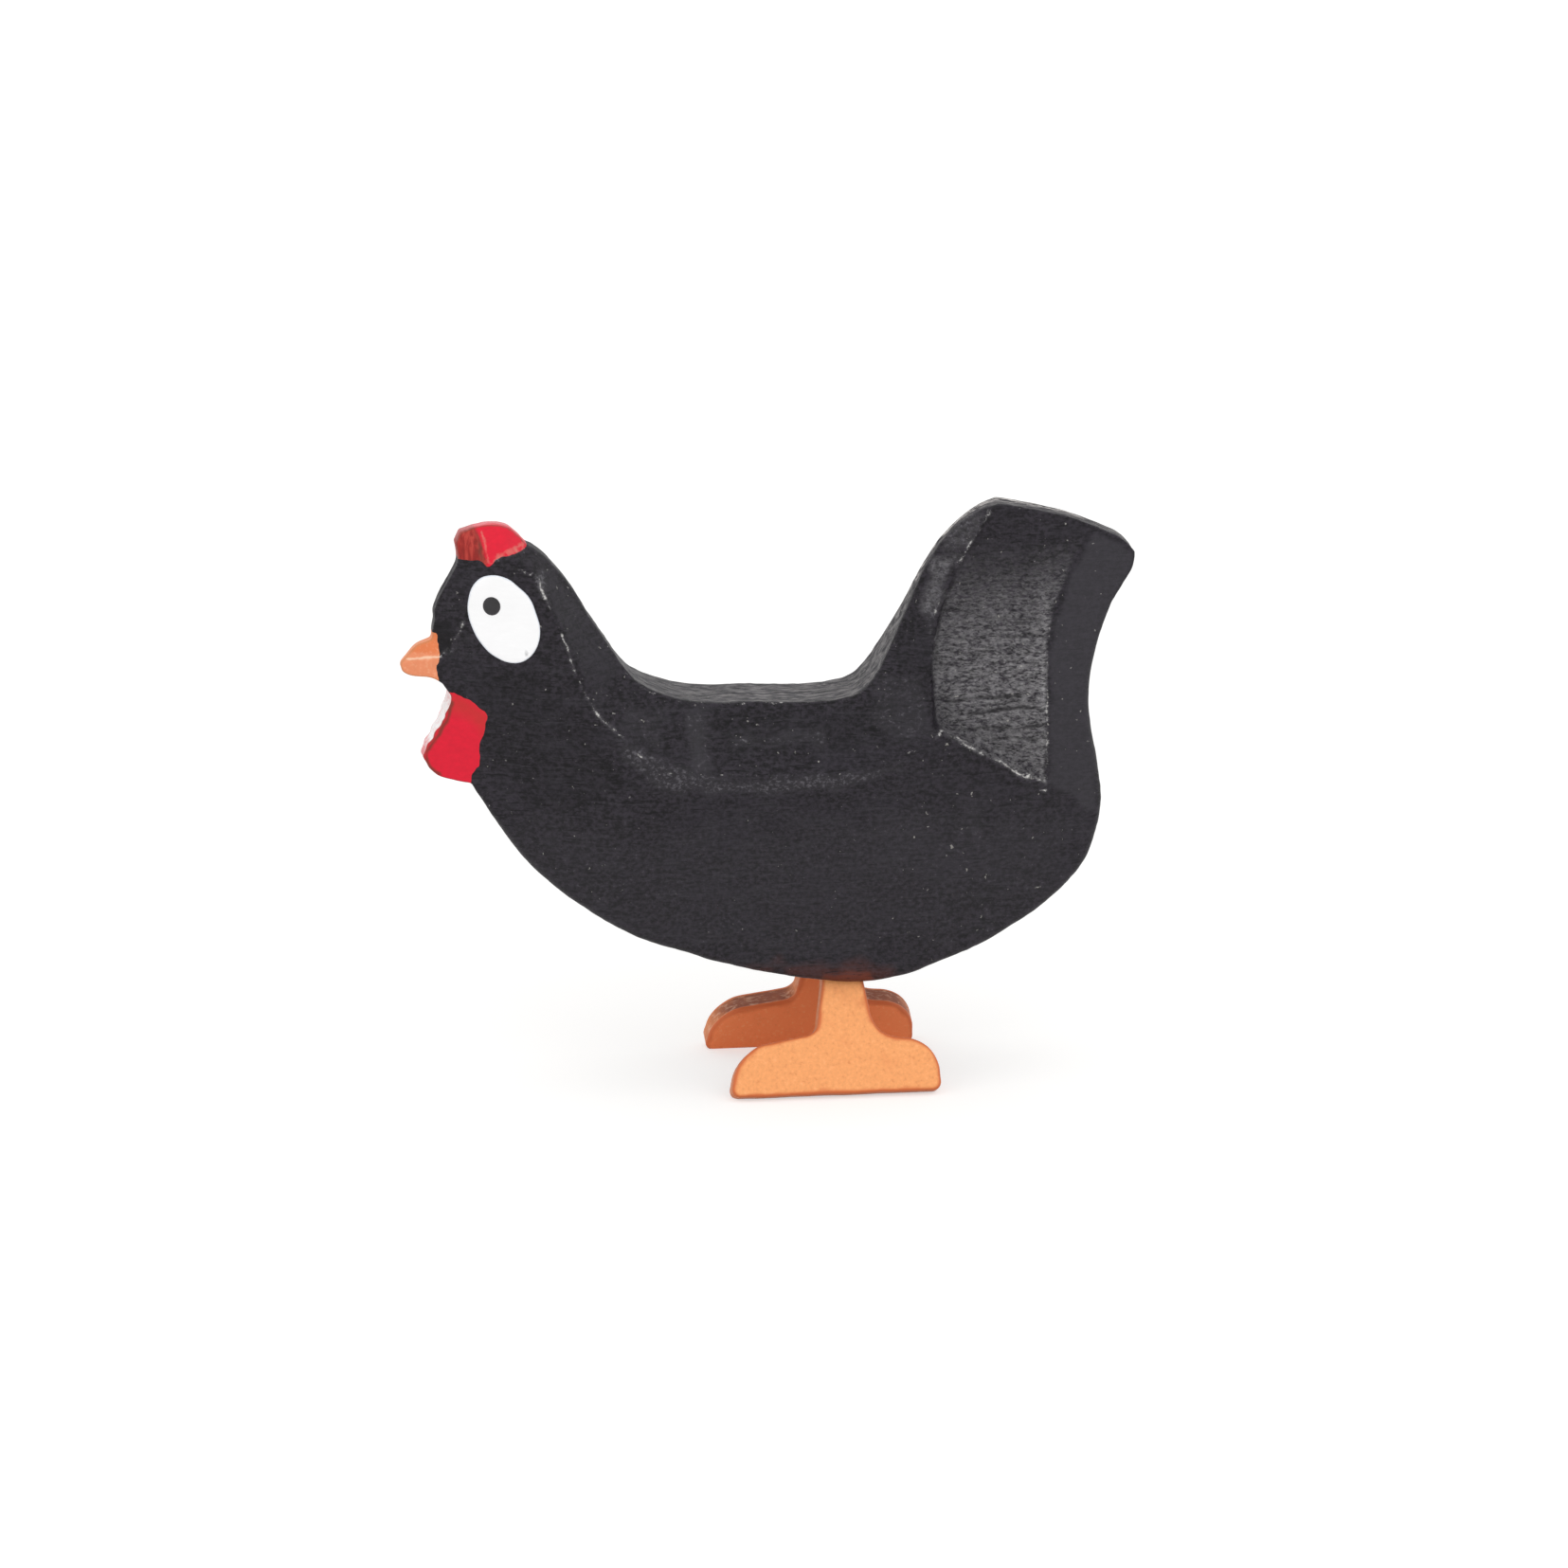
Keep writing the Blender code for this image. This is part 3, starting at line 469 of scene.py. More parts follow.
# The coats: their thickness, how far they sink into the wood, how far in from the edge
# they reach full thickness, how uneven they are, and their mesh.
EYE_COAT = 0.06
PUPIL_COAT = 0.05
COAT_SINK = 0.1
COAT_SWELL = 0.12
COAT_UNEVEN = 0.15
COAT_SPACING = 0.12
COAT_RINGS = (0.02, 0.05, 0.1)

# The feet: flat plates that lean inwards at the top.  Their outline is drawn in the
# plate, x from the leg's middle, height from the sole, with the corner's radius.
FOOT_THICKNESS = 1.5
FOOT_LEAN_DEG = 22.0
SOLE_HALF_SPREAD = 5.03
SOLE_WEAR = 0.2
LEG_X = 3.6
LEG_FRONT = -1.0
LEG_REAR = 1.37
LEG_FOOT_HEIGHT = 6.4
FRONT_TOE = (-5.9, 2.75, 2.6)
FRONT_SOLE = (-6.6, 0.0, 0.5)
REAR_SOLE = (5.58, 0.0, 0.5)
REAR_TOE = (5.33, 2.9, 2.1)
REAR_INSTEP = (1.86, 3.25, 1.7)
FRONT_INSTEP = (-1.45, 3.5, 0.75)
LEG_TOP = 9.0

# The feet's edge: rows across it, the worn corner's radius, how far in its rim reaches,
# how the saw strayed, and the mesh.
FOOT_ROWS = 12
FOOT_CORNER = 0.22
FOOT_RIM = 0.2
FOOT_WAVER = 0.02
FOOT_ARC_STEPS = 12
FOOT_EDGE_SPACING = 0.14
FOOT_RINGS = (0.04, 0.1, 0.18)

# The camera of the photograph: what it looks at, from where, and its lens on a
# full-frame sensor.
CAMERA_TARGET = (0.97, 0.0, 16.9)
CAMERA_DISTANCE = 900.0
CAMERA_AZIMUTH_DEG = -8.0
CAMERA_ELEVATION_DEG = 15.0
CAMERA_LENS = 364.1
CAMERA_SENSOR = 36.0

# The studio, in metres: half the table's width, the range that the camera sees, how far
# away the lamps are, and for each lamp its azimuth from the near side and its elevation in
# degrees, its width and its height.
TABLE_REACH = 3.0
CAMERA_SEES = (0.01, 20.0)
LAMP_DISTANCE = 0.6
FRONT_LAMP = (15.0, 32.0, 0.5, 0.4)
SIDE_LAMP = (-48.0, 18.0, 0.5, 0.25)

# What the table's white card adds to its own shade, so that it is seen white.
CARD_GLOW = 0.52


def from_hex(code):
    """Linear colour from an sRGB hex value."""
    parts = [int(code[start:start + 2], 16) / 255 for start in (1, 3, 5)]
    return tuple(part / 12.92 if part <= 0.04045 else ((part + 0.055) / 1.055) ** 2.4
                 for part in parts)


class HenShape(bpy.types.PropertyGroup):
    """Sizes of the carving that a maker would vary."""

    board_thickness: FloatProperty(
        name="Board thickness", description="Thickness of the board that the bird is sawn from",
        default=10 * MM, min=8 * MM, max=12 * MM, unit="LENGTH", precision=4)
    corner: FloatProperty(
        name="Worn corner", description="Radius of the corners that the knife and saw leave",
        default=0.1 * MM, min=0.02 * MM, max=0.4 * MM, unit="LENGTH", precision=5)
    belly_corner: FloatProperty(
        name="Belly corner", description="Radius of the lower corners, which are rubbed round",
        default=0.5 * MM, min=0.2 * MM, max=2 * MM, unit="LENGTH", precision=5)
    knife_waver: FloatProperty(
        name="Knife waver", description="How far the knife cuts stray from flat",
        default=0.045 * MM, min=0.0, max=0.2 * MM, unit="LENGTH", precision=5)
    saw_waver: FloatProperty(
        name="Saw waver", description="How rough the sawn edges are",
        default=0.035 * MM, min=0.0, max=0.2 * MM, unit="LENGTH", precision=5)


class HenPaint(bpy.types.PropertyGroup):
    """Colours of the paints."""

    black: FloatVectorProperty(
        name="Black", description="Body paint", subtype="COLOR", size=3, min=0, max=1,
        default=from_hex("#1e1b20"))
    red: FloatVectorProperty(
        name="Red", description="Comb and wattle paint", subtype="COLOR", size=3, min=0, max=1,
        default=from_hex("#e41d37"))
    beak: FloatVectorProperty(
        name="Beak orange", description="Beak paint", subtype="COLOR", size=3, min=0, max=1,
        default=from_hex("#f0946a"))
    feet: FloatVectorProperty(
        name="Foot orange", description="Foot paint", subtype="COLOR", size=3, min=0, max=1,
        default=from_hex("#ffac6c"))
    white: FloatVectorProperty(
        name="White", description="Eye paint", subtype="COLOR", size=3, min=0, max=1,
        default=from_hex("#fefeff"))


class HenStage(bpy.types.PropertyGroup):
    """Light and camera."""

    key_level: FloatProperty(
        name="Front light", description="Radiance of the soft light beside the camera",
        default=1.23, min=0.0, max=10.0)
    strip_level: FloatProperty(
        name="Side light", description="Radiance of the soft light on the beak's side",
        default=1.4, min=0.0, max=10.0)
    surround_level: FloatProperty(
        name="Surround", description="Radiance of the pale room", default=0.83, min=0.0, max=2.0)
    lens: FloatProperty(
        name="Lens", description="Focal length of the camera", default=CAMERA_LENS,
        min=50.0, max=1000.0, unit="CAMERA")


def smooth_run(points, steps):
    """A Catmull-Rom curve through points of any dimension."""
    points = np.asarray(points, dtype=float)
    padded = np.vstack([points[:1], points, points[-1:]])
    shares = (np.arange(steps) / steps)[:, None]
    run = []
    for p0, p1, p2, p3 in zip(padded, padded[1:], padded[2:], padded[3:]):
        run.append(0.5 * (2 * p1 + (p2 - p0) * shares
                          + (2 * p0 - 5 * p1 + 4 * p2 - p3) * shares ** 2
                          + (3 * p1 - p0 - 3 * p2 + p3) * shares ** 3))
    run.append(points[-1:])
    return np.vstack(run)


def evenly_spaced(line, spacing):
    """The same line with points at an even spacing along it."""
    line = np.asarray(line, dtype=float)
    steps = np.linalg.norm(np.diff(line[:, :2], axis=0), axis=1)
    stations = np.concatenate([[0.0], steps.cumsum()])
    count = max(2, int(round(stations[-1] / spacing)) + 1)
    wanted = np.linspace(0.0, stations[-1], count)
    return np.column_stack([np.interp(wanted, stations, column) for column in line.T])


def closed(line):
    """The line with its first point once more at its end."""
    return np.vstack([line, line[:1]])


def outwards(outline):
    """Unit vectors that point out of a closed outline, one at each of its points."""
    along = np.roll(outline, -1, axis=0)[:, :2] - np.roll(outline, 1, axis=0)[:, :2]
    across = np.column_stack([along[:, 1], -along[:, 0]])
    across /= np.linalg.norm(across, axis=1)[:, None]
    turned = (outline[:, 0] * np.roll(outline[:, 1], -1)
              - np.roll(outline[:, 0], -1) * outline[:, 1]).sum()
    return across * math.copysign(1.0, turned)


def from_line(points, line):
    """For each point, its distance from a line, and the line's nearest station."""
    line = np.asarray(line, dtype=float)
    starts = line[:-1]
    runs = line[1:] - starts
    lengths = (runs[:, :2] ** 2).sum(axis=1).clip(1e-12)
    distances = []
    stations = []
    for some in np.array_split(points, len(points) // BATCH + 1):
        offsets = some[:, None, :] - starts[None, :, :2]
        shares = ((offsets * runs[None, :, :2]).sum(axis=2) / lengths).clip(0.0, 1.0)
        gaps = np.linalg.norm(offsets - shares[:, :, None] * runs[None, :, :2], axis=2)
        nearest = gaps.argmin(axis=1)
        rows = np.arange(len(some))
        distances.append(gaps[rows, nearest])
        stations.append(starts[nearest] + shares[rows, nearest][:, None] * runs[nearest])
    return np.concatenate(distances), np.vstack(stations)


def inside(points, outline):
    """Which points lie inside a closed outline."""
    corners = np.asarray(outline, dtype=float)
    x, z = points[:, 0], points[:, 1]
    odd = np.zeros(len(points), dtype=bool)
    for (x0, z0), (x1, z1) in zip(np.roll(corners, 1, axis=0)[:, :2], corners[:, :2]):
        if z0 == z1:
            continue
        crossing = (z0 > z) != (z1 > z)
        odd ^= crossing & (x < x0 + (z - z0) * (x1 - x0) / (z1 - z0))
    return odd


def outside_distance(points, outline):
    """Distance of each point from a closed outline, zero inside it."""
    distance, _ = from_line(points, closed(np.asarray(outline)))
    return np.where(inside(points, outline), 0.0, distance)


def unevenness(points, length, seed):
    """Smooth random heights between -1 and 1, with bumps of a given length."""
    points = np.asarray(points, dtype=float) / length
    base = np.floor(points).astype(int)
    share = points - base
    share = share * share * (3 - 2 * share)
    table = np.random.default_rng(seed).uniform(-1, 1, (BUMP_CELLS, BUMP_CELLS))

    def corner(right, up):
        return table[(base[:, 0] + right) % BUMP_CELLS, (base[:, 1] + up) % BUMP_CELLS]

    low = corner(0, 0) * (1 - share[:, 0]) + corner(1, 0) * share[:, 0]
    high = corner(0, 1) * (1 - share[:, 0]) + corner(1, 1) * share[:, 0]
    return low * (1 - share[:, 1]) + high * share[:, 1]


def wander(line, length, seed):
    """How far each point of a line strays in both directions, between -1 and 1."""
    return np.column_stack([unevenness(line, length, seed), unevenness(line, length, seed + 1)])


def softer_least(first, second, width):
    """The smaller of two heights, rounded where they cross."""
    overlap = (width - np.abs(first - second)).clip(0.0) / width
    return np.minimum(first, second) - overlap ** 2 * width / 4


def corner_loss(depth, radius):
    """How far a rounded corner falls away at a depth inside its edge."""
    short = (radius - depth).clip(0.0)
    return radius - np.sqrt((radius ** 2 - short ** 2).clip(0.0))


def front_half(x):
    """Half thickness that the front's taper leaves, in plan."""
    beak_taper = (WATTLE_HALF - BEAK_END_HALF) / (WATTLE_X - BEAK_END_X)
    return WATTLE_HALF + np.where(x > WATTLE_X, FRONT_TAPER, beak_taper) * (x - WATTLE_X)


def neck_half(x, z):
    """Half thickness that the neck facet leaves."""
    return NECK_HALF + NECK_RISE * (x - NECK_POINT[0]) - NECK_FALL * (z - NECK_POINT[1])


def below_tail_line(x, z):
    """How far a point lies below the line of the tail's top edge."""
    start = np.array(TAIL_LINE_START)
    along = np.array(TAIL_LINE_END) - start
    along = along / np.linalg.norm(along)
    return (x - start[0]) * along[1] - (z - start[1]) * along[0]


def tail_half(x, z):
    """Half thickness of the tail, which thins towards its top edge."""
    return TAIL_TOP_HALF + TAIL_THINNING * below_tail_line(x, z)


def hollow_half(x, z):
    """Half thickness under the hollow's two cuts: the long one, which meets the tail at the
    rear crease, and the short one at the top."""
    at_rear = tail_half(HOLLOW_REAR_X, z)
    at_rear = softer_least(at_rear, np.full(len(z), HOLLOW_LOW_HALF), BROAD_BLEND)
    long_cut = at_rear + HOLLOW_SLOPE_X * (x - HOLLOW_REAR_X)
    short_cut = HOLLOW_TOP_HALF + HOLLOW_TOP_SLOPE * below_tail_line(x, z)
    return -softer_least(-long_cut, -short_cut, FLOOR_BLEND)


def wavering(points, amount, seed):
    """How far a knife cut strays: long swings with shorter ones on them."""
    (long, most), (short, less) = KNIFE_SWINGS
    return amount * (most * unevenness(points, long, seed)
                     + less * unevenness(points, short, seed + 1))


def uncut_half(points, board_half, waver, seed):
    """Half thickness of the bird at points of its side, before the hollow and its edges."""
    x, z = points[:, 0], points[:, 1]
    rump = board_half - RUMP_TAPER * (x - RUMP_START_X)
    half = softer_least(front_half(x), rump, BROAD_BLEND)
    half = softer_least(half, np.full(len(x), board_half), BROAD_BLEND)
    half = half + wavering(points, waver, seed)
    neck = neck_half(x, z) + wavering(points, waver, seed + 10)
    neck = neck + NECK_WALL * outside_distance(points, NECK_BORDER)
    half = softer_least(half, neck, NECK_BLEND)
    tail = tail_half(x, z) + wavering(points, waver, seed + 20)
    return np.where(x > TAIL_FRONT_X, softer_least(half, tail, TAIL_BLEND), half)


def facet_line(ribs, before, after, board_half):
    """An edge with the half width and the slope of the knife facet along it."""
    run = np.vstack([*before, smooth_run(ribs, CURVE_STEPS), *after])
    ends = run[:, 3:5]
    reach, _ = from_line(ends, run[:, :2])
    half = uncut_half(ends, board_half, 0.0, 0)
    floor = hollow_half(ends[:, 0], ends[:, 1]) + np.interp(ends[:, 1], *HOLLOW_STEPS)
    half = np.where(ends[:, 0] > TAIL_FRONT_X, softer_least(half, floor, STEP_BLEND), half)
    slope = (half - run[:, 2]) / reach
    return np.column_stack([run[:, :3], slope])


def facet_half(points, line):
    """Half thickness under the knife facet of an edge."""
    distance, stations = from_line(points, line)
    return stations[:, 2] + stations[:, 3] * distance


def carved_half(points, outline, board_half, waver, seed):
    """Half thickness of the carved bird at points of its side, with its worn corner."""
    half = uncut_half(points, board_half, waver, seed)
    hollow = hollow_half(points[:, 0], points[:, 1]) + wavering(points, waver, seed + 30)
    hollow = hollow + HOLLOW_WALL * outside_distance(points, HOLLOW_BORDER)
    half = softer_least(half, hollow, FACET_BLEND)
    front = facet_half(points, facet_line(FRONT_RIBS, [], [FRONT_RUN_OUT], board_half))
    back = facet_half(points, facet_line(BACK_RIBS, [BACK_RUN_OUT], [], board_half))
    front = front + wavering(points, waver * FRONT_WAVER, seed + 40)
    half = softer_least(half, front, FACET_BLEND)
    half = softer_least(half, back + wavering(points, waver, seed + 50), BACK_BLEND)
    depth, stations = from_line(points, outline)
    return half - corner_loss(depth, np.minimum(stations[:, 2], CORNER_SHARE * half))


def saw_outline(corner, belly_corner):
    """The saw line of the bird once round, with the radius of its worn corner (x, z, r)."""
    ribs = ([rib[:2] for rib in FRONT_RIBS], [rib[:2] for rib in BACK_RIBS])
    front, back, top, rear, wattle, beak = (
        smooth_run(line, CURVE_STEPS)
        for line in (*ribs, TAIL_TOP, TAIL_BACK, WATTLE_EDGE, BEAK_UNDER))
    drop = (rear[0, 1] - rear[:, 1]).clip(0.0)
    lead = np.hypot(*(rear - rear[-1]).T)
    worn = (belly_corner - corner) * np.minimum(drop / BELLY_DROP, lead / BELLY_LEAD).clip(0, 1)
    upper = np.vstack([front, [COMB_FRONT_TOP], back, top[1:]])
    last = np.vstack([wattle[1:], beak[1:]])
    whole = evenly_spaced(np.vstack([
        np.column_stack([upper, np.full(len(upper), corner)]),
        np.column_stack([rear, corner + worn])[1:],
        np.column_stack([last, np.full(len(last), corner)]),
    ]), EDGE_SPACING)[:-1]
    spots = whole[:, :2]
    stray = sum(most * unevenness(spots, length, seed) for most, length, seed in SAW_BUMPS)
    torn = np.interp(whole[:, 1], *TORN_HEIGHTS)
    most, length, seed = TORN_BUMPS
    torn = np.where(whole[:, 0] < TORN_REAR_X, torn, 0.0) * most
    stray += torn * unevenness(spots, length, seed)
    whole[:, :2] -= outwards(whole) * stray[:, None]
    whole[:, 0] = whole[:, 0].clip(*BOARD_ENDS_X)
    whole[:, 1] = whole[:, 1].clip(None, BOARD_TOP_Z)
    return whole


def wavy(border, seed):
    """A paint border that wavers as a brush does."""
    line = evenly_spaced(smooth_run(border, CURVE_STEPS), EDGE_SPACING)
    (most, long), (less, short) = BRUSH_SWINGS
    waver = most * wander(line, long, seed) + less * wander(line, short, seed + 2)
    line[1:-1] += waver[1:-1]
    return line


@functools.lru_cache(maxsize=1)
def paint_zones():
    """The closed borders of the comb's, the beak's and the wattle's paint."""
    comb = wavy(COMB_BORDER, 61)
    beak = wavy(BEAK_BORDER, 71)
    wattle = wavy(WATTLE_BORDER, 81)
    return {
        "comb": np.vstack([comb, [(x, COMB_ZONE_TOP) for x in comb[[-1, 0], 0]]]),
        "beak": np.vstack([beak, [(BEAK_ZONE_FRONT, z) for z in beak[[-1, 0], 1]]]),
        "wattle": np.vstack([wattle, [(WATTLE_ZONE_FRONT, z) for z in wattle[[-1, 0], 1]]]),
    }


def meshed_area(outline, lines, spacing, rings):
    """Points and triangles inside a closed outline, with edges along drawn lines."""
    points = [outline[:, :2]]
    edges = [(index, (index + 1) % len(outline)) for index in range(len(outline))]
    first = len(outline)
    for line in lines:
        points.append(line)
        edges.extend((first + index, first + index + 1) for index in range(len(line) - 1))
        first += len(line)
    border = closed(outline)
    for depth in rings:
        ring = outline[:, :2] - outwards(outline) * depth
        clear = inside(ring, outline) & (from_line(ring, border)[0] > RING_CLEARANCE * depth)
        for line in lines:
            clear &= from_line(ring, line)[0] > RING_LINE_SHARE * depth + RING_LINE_GAP
        points.append(ring[clear])
    low = outline[:, :2].min(axis=0)
    high = outline[:, :2].max(axis=0)
    rows = []
    for row, z in enumerate(np.arange(low[1], high[1], spacing * math.sqrt(3) / 2)):
        x = np.arange(low[0] + (row % 2) * spacing / 2, high[0], spacing)
        rows.append(np.column_stack([x, np.full(len(x), z)]))
    grid = np.vstack(rows)
    grid += GRID_STRAY * spacing * np.random.default_rng(3).uniform(-1, 1, grid.shape)
    grid = grid[inside(grid, outline)]
    clear = from_line(grid, border)[0] > rings[-1] + LINE_CLEARANCE
    for line in lines:
        clear &= from_line(grid, line)[0] > LINE_CLEARANCE
    points.append(grid[clear])
    points = np.vstack(points)
    found = delaunay_2d_cdt([Vector(point) for point in points], edges, [], 0, WELD)
    corners = np.array([tuple(vertex) for vertex in found[0]])
    triangles = np.array([tuple(face) for face in found[2]])
    middles = corners[triangles].mean(axis=1)
    kept = inside(middles, outline)
    return corners, triangles[kept], middles[kept]


def rim_of(triangles, count):
    """The outer sides of a patch of triangles, as pairs of its points."""
    sides = np.vstack([triangles[:, [0, 1]], triangles[:, [1, 2]], triangles[:, [2, 0]]])
    codes = sides[:, 0] * count + sides[:, 1]
    return sides[~np.isin(codes, sides[:, 1] * count + sides[:, 0])]


def slab_faces(triangles, rim, count, rows):
    """Faces all round a slab: its two sides and the wall that joins their rims.

    The points of one side come first, then those of the other, and then those of the wall,
    so many rows of them between the sides at each point of the rim.
    """
    faces = triangles.tolist() + (triangles[:, ::-1] + count).tolist()
    columns = {}
    for order, point in enumerate(np.unique(rim).tolist()):
        first = 2 * count + order * rows
        columns[point] = [point, *range(first, first + rows), point + count]
    for start, end in rim.tolist():
        here, there = columns[start], columns[end]
        for row in range(rows + 1):
            faces.append((there[row], here[row], here[row + 1], there[row + 1]))
    return faces


@functools.lru_cache(maxsize=1)
def carved_skin(board_half, corner, belly_corner, waver):
    """The carved side: its points and triangles, and its half thickness on both hands."""
    outline = saw_outline(corner, belly_corner)
    lines = [closed(zone) for zone in paint_zones().values()]
    corners, triangles, middles = meshed_area(outline, lines, SIDE_SPACING, CORNER_RINGS)
    near, far = (carved_half(corners, closed(outline), board_half, waver, SIDE_SEEDS[hand])
                 for hand, _ in HANDS)
    return outline, corners, triangles, middles, near, far


def beside_lines(points, lines):
    """Signed distance of each point from the nearest drawn line, and the line's strength."""
    aside = np.full(len(points), LINE_REACH)
    strength = np.zeros(len(points))
    for drawn, most in lines:
        line = evenly_spaced(smooth_run(drawn, LINE_STEPS), LINE_END)
        ahead = np.gradient(line, axis=0)
        ahead /= np.linalg.norm(ahead, axis=1)[:, None]
        distance, stations = from_line(points, np.column_stack([line, ahead]))
        off = points - stations[:, :2]
        turn = off[:, 0] * stations[:, 3] - off[:, 1] * stations[:, 2]
        beyond = np.abs((off * stations[:, 2:4]).sum(axis=1))
        patchy = PATCH_MEAN + PATCH_SWING * unevenness(stations[:, :2], PATCH_LENGTH, 92)
        closer = distance < np.abs(aside)
        aside = np.where(closer, np.copysign(distance, turn), aside)
        shown = most * patchy.clip(0.0, 1.0) * (1 - beyond / LINE_END).clip(0.0)
        strength = np.where(closer, shown, strength)
    return aside, strength * (1 - np.abs(aside) / LINE_REACH)


def front_facet(points):
    """Which points of the comb lie on the facet in front of its corner crease."""
    # The facet found here is painted darker, as painted shade.
    corner_x = np.interp(points[:, 1], *COMB_CREASE)
    on_facet = ((corner_x - points[:, 0]) / COMB_CREASE_FADE).clip(0.0, 1.0)
    return on_facet * (points[:, 1] > COMB_BORDER[0][1] - COMB_FACET_DROP)


def faces_shade(points, faces):
    """How far points of the side lie in any of some faces, 0 to 1."""
    shade = np.zeros(len(points))
    for border, strength, fade in faces:
        depth, _ = from_line(points, closed(np.array(border)))
        stray = FACE_WANDER * fade * unevenness(points, FACE_WANDER_LENGTH, 93)
        depth = np.where(inside(points, border), depth, -depth) + stray
        shade = np.maximum(shade, strength * (depth / fade).clip(0.0, 1.0))
    return shade


def wear_of(points, outline):
    """The wear of the paint at points of the side, each kind by its name."""
    crease_aside, crease = beside_lines(points, RUBBED_AND_HIGHLIT_CREASES)
    # Dark lines, one of them a painted shadow of the step in front of the hollow.
    dark_aside, dark = beside_lines(points, DARK_LINES)
    depth, _ = from_line(points, closed(outline))
    # Thin paint and painted sheen in the hollow.
    dry = faces_shade(points, [(HOLLOW_FACE, 1.0, HOLLOW_FACE_FADE)])
    dry *= np.interp(points[:, 1], *DRY_AND_SHEEN_LEVEL_Z) * np.interp(points[:, 0], *DRY_AND_SHEEN_LEVEL_X)
    dry = np.maximum(dry, faces_shade(points, DRY_AND_SHEEN_FACES))
    return {
        "crease_aside": crease_aside,
        "crease": crease,
        "dark_aside": dark_aside,
        "dark": dark,
        "dry": dry,
        # Painted light and painted shade on the facets.
        "pale": faces_shade(points, PAINTED_LIGHT_FACES),
        "deep": faces_shade(points, DEEP_FACES),
        "scuffed": faces_shade(points, SCUFFED_FACES),
        # Painted reflection of the orange feet on the belly.
        "ruddy": faces_shade(points, FEET_REFLECTION_FACES),
        "rim": np.exp(-(depth / RIM_FADE) ** 2),
        # The comb's front facet, which is painted darker as painted shade.
        "front": front_facet(points),
    }


def sawn_wall(edge, near, far, outline, waver):
    """The rough sawn wall between both sides: its points, so many at each point of the rim,
    and how much wood shows at them."""
    numbered = closed(np.column_stack([outline[:, :2], np.arange(len(outline))]))
    depth, stations = from_line(edge, numbered)
    sawn = depth < ON_SAW_LINE
    station = stations[:, 2]
    shares = np.linspace(0.0, 1.0, SAWN_ROWS + 1)[1:-1]
    y = -near[:, None] + (near + far)[:, None] * shares
    spots = np.column_stack([np.repeat(station * EDGE_SPACING, len(shares)), y.ravel()])
    long, short, drawn_out = SAWN_BUMPS
    rough = (long[0] * unevenness(spots, *long[1:]) + short[0] * unevenness(spots, *short[1:])
             + drawn_out[0] * unevenness(spots * SAWN_STRETCH, *drawn_out[1:]))
    push = waver * rough.reshape(y.shape) * (np.sin(np.pi * shares) ** 0.5 * sawn[:, None])
    out = outwards(outline)[np.rint(station).astype(int) % len(outline)]
    x = (edge[:, 0, None] + out[:, 0, None] * push).clip(*BOARD_ENDS_X)
    z = (edge[:, 1, None] + out[:, 1, None] * push).clip(None, BOARD_TOP_Z)

    # How pale the edge is painted: wood that shows, and painted reflection of grazing light.
    shows = from_line(edge, SAWN_SHOWS)[1][:, 2] * sawn
    painted_corner = 1 - np.interp(shares, *CORNER_SHOWS)
    has_one = np.interp(edge[:, 0], *CORNER_FROM_X)
    has_one = np.maximum(has_one, edge[:, 1] > COMB_BORDER[0][1])
    shows = shows[:, None] * (1 - has_one[:, None] * painted_corner)
    return np.column_stack([x.ravel(), y.ravel(), z.ravel()]), shows.ravel()


def carved_piece(name, shape):
    """A closed mesh over the part of the side that a paint covers, with its wear."""
    outline, corners, triangles, middles, near, far = carved_skin(
        shape.board_thickness / MM / 2, shape.corner / MM, shape.belly_corner / MM,
        shape.knife_waver / MM)
    zones = paint_zones()
    if name == "body":
        chosen = ~np.any([inside(middles, zone) for zone in zones.values()], axis=0)
    else:
        chosen = inside(middles, zones[name])
    if not chosen.any():
        raise RuntimeError("no carved surface found for the " + name)
    used, triangles = np.unique(triangles[chosen], return_inverse=True)
    triangles = triangles.reshape(-1, 3)
    side, near, far = corners[used], near[used], far[used]
    count = len(used)
    rim = rim_of(triangles, count)
    edge = np.unique(rim)
    wall, shows = sawn_wall(side[edge], near[edge], far[edge], outline, shape.saw_waver / MM)
    points = np.vstack([
        np.column_stack([side[:, 0], -near, side[:, 1]]),
        np.column_stack([side[:, 0], far, side[:, 1]]),
        wall,
    ])
    values = {"sawn": np.concatenate([np.zeros(2 * count), shows])}
    facet = np.repeat(front_facet(side[edge]), SAWN_ROWS - 1)
    for kind, amounts in wear_of(side, outline[:, :2]).items():
        on_wall = facet if kind == "front" else np.zeros(len(wall))
        values[kind] = np.concatenate([amounts, amounts, on_wall])
    return points, slab_faces(triangles, rim, count, SAWN_ROWS - 1), values


def new_piece(name, points, faces, values, material, node):
    """A piece of the visible hen, which stands in for a node of the frame."""
    old = bpy.data.objects.get(name)
    if old is not None:
        bpy.data.objects.remove(old, do_unlink=True)
    mesh = bpy.data.meshes.new(name)
    mesh.from_pydata((np.asarray(points) * MM).tolist(), [], faces)
    for key, numbers in values.items():
        mesh.attributes.new(key, "FLOAT", "POINT").data.foreach_set("value", numbers)
    mesh.shade_smooth()
    mesh.set_sharp_from_angle(angle=math.radians(SHARP_ANGLE_DEG))
    mesh.materials.append(material)
    piece = bpy.data.objects.new(name, mesh)
    bpy.context.collection.objects.link(piece)
    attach(piece, "root")
    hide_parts(node)


